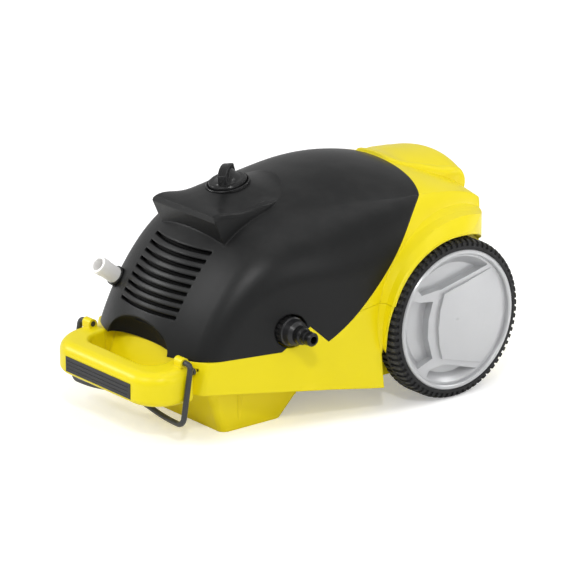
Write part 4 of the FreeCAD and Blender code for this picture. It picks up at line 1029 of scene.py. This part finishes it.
@dataclass
class Housing(SubAssembly):
    """Cover, hood and tub, with a dark screen behind the grille and the bowl of the hand scoop.

    The screen is painted shade: a matt black sheet for the shaded inside seen through the slots.
    It follows the cover's arch, whose sections fan out from the line at fan_y and fan_z.
    """

    looks: dict[str, str] = field(default_factory=lambda: {
        "front_cover": "black_shell", "rear_hood": "yellow_shell", "tub": "yellow_shell",
        "housing_screws": "zinc_steel"})
    fan_y: float = -68.0
    fan_z: float = -4.0
    shade_screen_radius: float = 285.5
    shade_screen_bow: float = 200.0
    shade_screen_half: float = 60.0
    shade_screen_thick: float = 1.6
    shade_screen_from: float = 25.0
    shade_screen_to: float = 47.5
    shade_screen_steps_across: int = 10
    shade_screen_steps_up: int = 18
    scoop_front: float = -333.0
    scoop_floor: float = 93.0
    scoop_half: float = 56.0
    scoop_depth: float = 16.0
    scoop_rise: float = 29.6
    scoop_sweep: float = 85.0
    scoop_skin: float = 0.8
    scoop_steps_across: int = 48
    scoop_steps_up: int = 20

    def build(self) -> None:
        """Painted-shade screen behind the grille, and bowl."""
        self.shade_screen()
        self.bowl()

    def shade_screen(self) -> None:
        """Spins a point to a bowed line, thickens it and spins that up behind the grille."""
        centre = place(0, self.fan_y, self.fan_z)
        bow = self.shade_screen_bow * MM
        swing = math.asin(self.shade_screen_half / self.shade_screen_bow)
        bow_centre = centre - Vector((0, self.shade_screen_radius * MM - bow, 0))
        start = bow_centre + Vector((-math.sin(swing), -math.cos(swing), 0)) * bow
        piece = self.bench.point("grille_baffle", start)
        bpy.ops.mesh.spin(steps=self.shade_screen_steps_across, angle=-2 * swing, center=bow_centre,
                          axis=(0, 0, 1))
        bpy.ops.mesh.select_all(action="SELECT")
        bpy.ops.mesh.extrude_region_move(
            TRANSFORM_OT_translate={"value": (0, self.shade_screen_thick * MM, 0)})
        bpy.ops.mesh.select_all(action="SELECT")
        bpy.ops.transform.rotate(value=math.radians(self.shade_screen_from), orient_axis="X",
                                 center_override=centre)
        bpy.ops.mesh.spin(steps=self.shade_screen_steps_up,
                          angle=math.radians(self.shade_screen_to - self.shade_screen_from),
                          center=centre, axis=(1, 0, 0))
        self.bench.close(40.0)
        # The screen's matt black is painted shade for the dark inside behind the grille's slots.
        self.fit(piece, "chassis", "black_part", "matt_black")

    def bowl(self) -> None:
        """Spins a half circle up and back, and flattens it to the hand scoop's bowl."""
        front = place(0, self.scoop_front, self.scoop_floor)
        half = self.scoop_half
        piece = self.bench.point("scoop_bowl", front + Vector((half * MM, 0, 0)))
        bpy.ops.mesh.spin(steps=self.scoop_steps_across, angle=-math.pi, center=front,
                          axis=(0, 0, 1))
        bpy.ops.mesh.select_all(action="SELECT")
        bpy.ops.mesh.spin(steps=self.scoop_steps_up, angle=-math.radians(self.scoop_sweep),
                          center=front, axis=(1, 0, 0))
        bpy.ops.mesh.select_all(action="SELECT")
        bpy.ops.transform.resize(value=(1, self.scoop_depth / half, self.scoop_rise / half),
                                 center_override=front)
        self.bench.close(60.0)
        wall = piece.modifiers.new("wall", "SOLIDIFY")
        wall.thickness = self.scoop_skin * MM
        wall.offset = 0.0
        bpy.ops.object.modifier_apply(modifier=wall.name)
        self.fit(piece, "chassis", "black_shell", "matt_black")


@dataclass
class Loop(SubAssembly):
    """Carrying loop with its grip strip, screws and wire hanger."""

    looks: dict[str, str] = field(default_factory=lambda: {
        "carrying_loop": "yellow_shell", "grip_insert": "grey_grip", "loop_screws": "bail_wire",
        "hose_bail": "bail_wire"})


@dataclass
class Switch(SubAssembly):
    """Rotary switch on the pod, with the flare at the foot of its paddle.

    Each section of the flare has its height, half its thickness and half its length.
    """

    looks: dict[str, str] = field(default_factory=lambda: {
        "switch_knob": "black_part", "switch_bezel": "black_part", "switch_body": "black_part"})
    seat: Place = (0.0, -204.6, 260.618)
    tilt: float = 13.0
    turn: float = 37.5
    sides: int = 64
    flare: tuple[tuple[float, float, float], ...] = (
        (3.4, 17.0, 18.9), (4.3, 14.2, 18.8), (5.5, 11.8, 18.6), (7.3, 9.6, 18.3),
        (9.8, 7.8, 17.8), (12.6, 6.5, 17.2), (15.6, 5.5, 16.6))

    def build(self) -> None:
        """Raises a disc in narrowing steps, then turns, tilts and seats the flare."""
        middle = (0, 0, 0)
        height, thick, long = self.flare[0]
        self.bench.clear()
        bpy.ops.mesh.primitive_circle_add(vertices=self.sides, radius=MM, fill_type="NGON",
                                          location=(0, 0, height * MM))
        piece = self.bench.take("paddle_flare")
        bpy.ops.transform.resize(value=(thick, long, 1), center_override=middle)
        for new_height, new_thick, new_long in self.flare[1:]:
            bpy.ops.mesh.extrude_region_move(
                TRANSFORM_OT_translate={"value": (0, 0, (new_height - height) * MM)})
            bpy.ops.transform.resize(value=(new_thick / thick, new_long / long, 1),
                                     center_override=middle)
            height, thick, long = new_height, new_thick, new_long
        bpy.ops.mesh.select_all(action="SELECT")
        for axis, angle in (("Z", self.turn), ("X", self.tilt)):
            bpy.ops.transform.rotate(value=-math.radians(angle), orient_axis=axis,
                                     center_override=middle)
        bpy.ops.transform.translate(value=place(*self.seat))
        self.bench.close(40.0)
        self.fit(piece, "knob", "black_part")


@dataclass
class WaterInlet(SubAssembly):
    """Brass stub, union nut and hose nipple with its seal ring."""

    looks: dict[str, str] = field(default_factory=lambda: {
        "inlet_stub": "brass", "inlet_filter": "filter_mesh", "inlet_washer": "seal_rubber",
        "union_nut": "knurled_nut", "inlet_nipple": "black_part"})
    seal_x: float = 157.5
    seal_radius: float = 7.2
    seal_section: float = 2.2
    seal_steps: int = 48
    seal_sides: int = 10

    def build(self) -> None:
        """Spins a round section to the seal ring in the nipple's groove."""
        centre = Vector(INLET_LINE) + Vector((self.seal_x * MM, 0, 0))
        self.bench.clear()
        bpy.ops.mesh.primitive_circle_add(
            vertices=self.seal_sides, radius=self.seal_section / 2 * MM, fill_type="NOTHING",
            location=centre + Vector((0, 0, self.seal_radius * MM)), rotation=(math.pi / 2, 0, 0))
        piece = self.bench.take("nipple_seal")
        bpy.ops.mesh.spin(steps=self.seal_steps, angle=2 * math.pi, center=centre, axis=(1, 0, 0))
        self.bench.close(60.0)
        self.fit(piece, "chassis", "seal_rubber")


@dataclass
class Outlet(SubAssembly):
    """High-pressure outlet."""

    looks: dict[str, str] = field(default_factory=lambda: {
        "outlet_sleeve": "white_sleeve", "outlet_collar": "black_part", "outlet_pipe": "zinc_steel"})


@dataclass
class Wheel(SubAssembly):
    """One wheel: rim, moulded face and a tyre with two staggered rows of knobs.

    X counts outwards from the machine's middle. The inner row lies from row_start to row_end. The
    outer row and both walls are steps (x, radius) that the tyre's open edges go through. The gaps
    between the knobs lie from gap_from to gap_to, and in the outer row above the radius gap_foot.
    """

    side: Side = Side.RIGHT
    knobs: int = 70
    row_start: float = 136.0
    row_end: float = 146.5
    outer: float = 95.0
    sink: float = 2.2
    gap_from: float = 131.6
    gap_to: float = 166.1
    gap_foot: float = 87.8
    gap_slack: float = 0.01
    edge_reach: float = 0.02
    inner_wall: tuple[tuple[float, float], ...] = (
        (134.5, 94.4), (131.5, 91.6), (129.4, 88.0), (129.2, 83.6))
    outer_rows: tuple[tuple[float, float], ...] = (
        (149.5, 95.0), (160.0, 95.0), (163.8, 93.4), (165.6, 91.6))
    outer_wall: tuple[tuple[float, float], ...] = (
        (165.9, 89.6), (166.2, 87.8), (167.2, 86.6), (167.5, 85.2), (167.1, 84.2), (166.4, 83.6))

    def __post_init__(self) -> None:
        """Names this side's nodes."""
        word = self.side.word
        self.looks = {f"rim_{word}": "silver_wheel", f"wheel_face_{word}": "silver_wheel",
                      f"tyre_{word}": "tyre_tread", f"axle_washer_{word}": "zinc_steel"}

    def open_at(self, x: float, edge: bmesh.types.BMEdge) -> bool:
        """Tells if an edge is open and lies at one place along X.

        Args:
            x: The place.
            edge: An edge of the tyre.

        Returns:
            True for such an edge.
        """
        return edge.is_boundary and all(
            abs(corner.co.x * self.side.value - x * MM) < self.edge_reach * MM
            for corner in edge.verts)

    def in_gap(self, face: bmesh.types.BMFace) -> bool:
        """Tells if a face lies between two knobs, with the two rows out of step.

        Args:
            face: A face of the tyre.

        Returns:
            True for every other face round each row.
        """
        away = face.calc_center_median() - Vector(AXLE_LINE)
        x = abs(away.x) / MM
        reach = math.hypot(away.y, away.z) / MM
        turn = math.atan2(away.y, away.z) * self.knobs / math.pi
        step = math.floor(turn + self.gap_slack) % 2
        inner_row = self.gap_from < x < self.row_end
        outer_row = self.outer_rows[0][0] < x < self.gap_to and reach > self.gap_foot
        return (inner_row and step == 0) or (outer_row and step == 1)

    def grow(self, piece: bpy.types.Object, steps: tuple[tuple[float, float], ...], x: float,
             radius: float) -> None:
        """Extrudes the open edge at one place through a row of steps.

        Args:
            piece: The tyre, in edit mode.
            steps: Places (x, radius) that the edge goes through.
            x: Where the open edge lies now.
            radius: Its radius now.
        """
        for new_x, new_radius in steps:
            self.bench.choose(piece, Pick.EDGE, partial(self.open_at, x))
            bpy.ops.mesh.extrude_region_move(
                TRANSFORM_OT_translate={"value": (self.side.value * (new_x - x) * MM, 0, 0)})
            share = new_radius / radius
            bpy.ops.transform.resize(value=(1, share, share), center_override=AXLE_LINE)
            x, radius = new_x, new_radius

    def build(self) -> None:
        """Grows the tyre from its inner row of knobs and sinks the gaps between them."""
        word = self.side.word
        middle = self.side.value * (self.row_start + self.row_end) / 2
        self.bench.clear()
        bpy.ops.mesh.primitive_cylinder_add(
            vertices=2 * self.knobs, radius=self.outer * MM,
            depth=(self.row_end - self.row_start) * MM, end_fill_type="NOTHING",
            location=Vector(AXLE_LINE) + Vector((middle * MM, 0, 0)), rotation=(0, math.pi / 2, 0))
        piece = self.bench.take(f"tyre_{word}_knobbed")
        self.grow(piece, self.outer_rows + self.outer_wall, self.row_end, self.outer)
        self.grow(piece, self.inner_wall, self.row_start, self.outer)
        self.bench.choose(piece, Pick.FACE, self.in_gap)
        bpy.ops.mesh.extrude_region_shrink_fatten(
            TRANSFORM_OT_shrink_fatten={"value": -self.sink * MM})
        self.bench.close(30.0)
        self.fit(piece, f"wheel_{word}", "tyre_tread")
        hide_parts(f"tyre_{word}")


@dataclass
class Drive(SubAssembly):
    """Motor, pump, capacitor, axle and cable gland."""

    looks: dict[str, str] = field(default_factory=lambda: {
        "axle": "bearing_steel", "fan_cowl": "black_part", "fan": "fan_plastic",
        "rear_shield": "shield_aluminium", "front_shield": "shield_aluminium",
        "rear_bearing": "bearing_steel", "front_bearing": "bearing_steel", "stator": "motor_iron",
        "windings": "copper_wire", "rotor": "motor_iron", "oil_case": "shield_aluminium",
        "cylinder_block": "brass", "valve_head": "brass", "pump_bolts": "zinc_steel",
        "unloader": "brass", "capacitor": "capacitor_case", "capacitor_strap": "zinc_steel",
        "cable_gland": "black_part"})


# ---------------------------------------------------------------- studio
@dataclass
class Lamp:
    """One soft panel that points at the machine; metres and watts."""

    name: str
    where: Place
    power: float
    size: float
    aim: Place = (0.0, 0.0, 0.12)

    def build(self) -> None:
        """Adds the area lamp and turns it to its aim."""
        data = bpy.data.lights.new(self.name, "AREA")
        data.shape = "DISK"
        data.size = self.size
        data.energy = self.power
        lamp = bpy.data.objects.new(self.name, data)
        bpy.context.scene.collection.objects.link(lamp)
        lamp.location = self.where
        line = Vector(self.aim) - Vector(self.where)
        lamp.rotation_euler = line.to_track_quat("-Z", "Y").to_euler()


@dataclass
class Studio:
    """Pale floor, soft lamps, even surroundings and the camera; metres and degrees."""

    lamps: tuple[Lamp, ...] = (
        Lamp("key_panel", (-0.4, -3.2, 3.2), 50.0, 2.2),
        Lamp("top_panel", (0.6, 0.4, 3.6), 15.0, 2.6),
        Lamp("side_panel", (3.8, 0.6, 1.8), 17.5, 2.0),
        Lamp("crease_strip", (2.3, -1.7, 2.8), 30.0, 0.35),
        Lamp("rear_strip", (0.4, 2.6, 3.3), 10.0, 0.7),
        Lamp("nose_panel", (-2.6, -1.9, 1.6), 28.0, 1.0),
        Lamp("floor_glow", (0.44, 0.72, 0.45), 2.4, 0.40, (0.46, 0.74, 0.0)),
    )
    ambient_low: float = 0.42
    ambient_high: float = 0.56
    ambient_span: tuple[float, float] = (-0.2, 0.9)
    floor_color: Color = (0.90, 0.90, 0.90)
    floor_roughness: float = 0.9
    floor_specular: float = 0.1
    floor_lift: float = 0.32
    floor_size: float = 40.0
    camera_place: Place = (3.4572, -2.7324, 1.5755)
    camera_tilt: float = 71.7
    camera_turn: float = 51.4
    camera_lens: float = 248.7
    camera_sensor: float = 36.0
    camera_far: float = 100.0

    def build(self) -> None:
        """Builds all of the studio."""
        self.surroundings()
        self.floor()
        for lamp in self.lamps:
            lamp.build()
        self.camera()

    def seen(self, sheet: Sheet, rays: tuple[Ray, ...]) -> bpy.types.NodeSocket:
        """Tells the given rays from all others.

        Args:
            sheet: Sheet of the world or the floor.
            rays: The rays.

        Returns:
            A share that is 1 for any of these rays and 0 for the others.
        """
        path = sheet.add("LightPath")
        share = path.outputs[rays[0].value]
        for ray in rays[1:]:
            share = sheet.math("MAXIMUM", share, path.outputs[ray.value])
        return share

    def surroundings(self) -> None:
        """White to the camera; as light and in gloss brighter above than at the horizon."""
        world = bpy.data.worlds.new("studio")
        bpy.context.scene.world = world
        world.use_nodes = True
        world.node_tree.nodes.clear()
        sheet = Sheet(world.node_tree)
        share = self.seen(sheet, (Ray.CAMERA,))
        where = sheet.add("TexCoord")
        split = sheet.add("SeparateXYZ", None, Vector=where.outputs["Generated"])
        glow = sheet.ramp(split.outputs["Z"], *self.ambient_span, self.ambient_low,
                          self.ambient_high)
        background = sheet.add("Background", None, Color=WHITE,
                               Strength=sheet.blend(share, glow, 1.0, Blend.NUMBER))
        sheet.add("OutputWorld", None, Surface=background.outputs["Background"])

    def floor(self) -> None:
        """Plain pale floor that keeps the machine's shadow."""
        bpy.ops.object.select_all(action="DESELECT")
        bpy.ops.mesh.primitive_plane_add(size=self.floor_size, location=(0, 0, 0))
        plane = bpy.context.object
        plane.name = "studio_floor"
        material = bpy.data.materials.new("studio_floor")
        material.use_nodes = True
        material.node_tree.nodes.clear()
        sheet = Sheet(material.node_tree)
        share = self.seen(sheet, (Ray.CAMERA, Ray.TRANSMISSION))
        shader = sheet.add("BsdfPrincipled", None, Base_Color=(*self.floor_color, 1.0),
                           Roughness=self.floor_roughness, Specular_IOR_Level=self.floor_specular,
                           Emission_Color=WHITE,
                           Emission_Strength=sheet.math("MULTIPLY", share, self.floor_lift))
        sheet.add("OutputMaterial", None, Surface=shader.outputs["BSDF"])
        plane.data.materials.append(material)

    def camera(self) -> None:
        """Long lens from the front right, a little above."""
        data = bpy.data.cameras.new("view")
        data.lens = self.camera_lens
        data.sensor_width = self.camera_sensor
        data.clip_end = self.camera_far
        camera = bpy.data.objects.new("view", data)
        bpy.context.scene.collection.objects.link(camera)
        camera.location = self.camera_place
        camera.rotation_euler = (math.radians(self.camera_tilt), 0.0, math.radians(self.camera_turn))
        bpy.context.scene.camera = camera


def main() -> None:
    """Builds the studio, then every sub-assembly in order."""
    logging.basicConfig(level=logging.INFO, format="%(message)s")
    bpy.context.scene.view_settings.view_transform = "Standard"
    Studio().build()
    shelf = Shelf()
    bench = Bench()
    kinds = (Housing, Loop, Switch, WaterInlet, Outlet)
    parts: list[SubAssembly] = [kind(shelf, bench) for kind in kinds]
    parts += [Wheel(shelf, bench, side=side) for side in Side]
    parts.append(Drive(shelf, bench))
    for part in parts:
        part.dress()
        part.build()
        LOG.info("%s done", type(part).__name__)
    bench.clear()


if __name__ == "__main__":
    main()
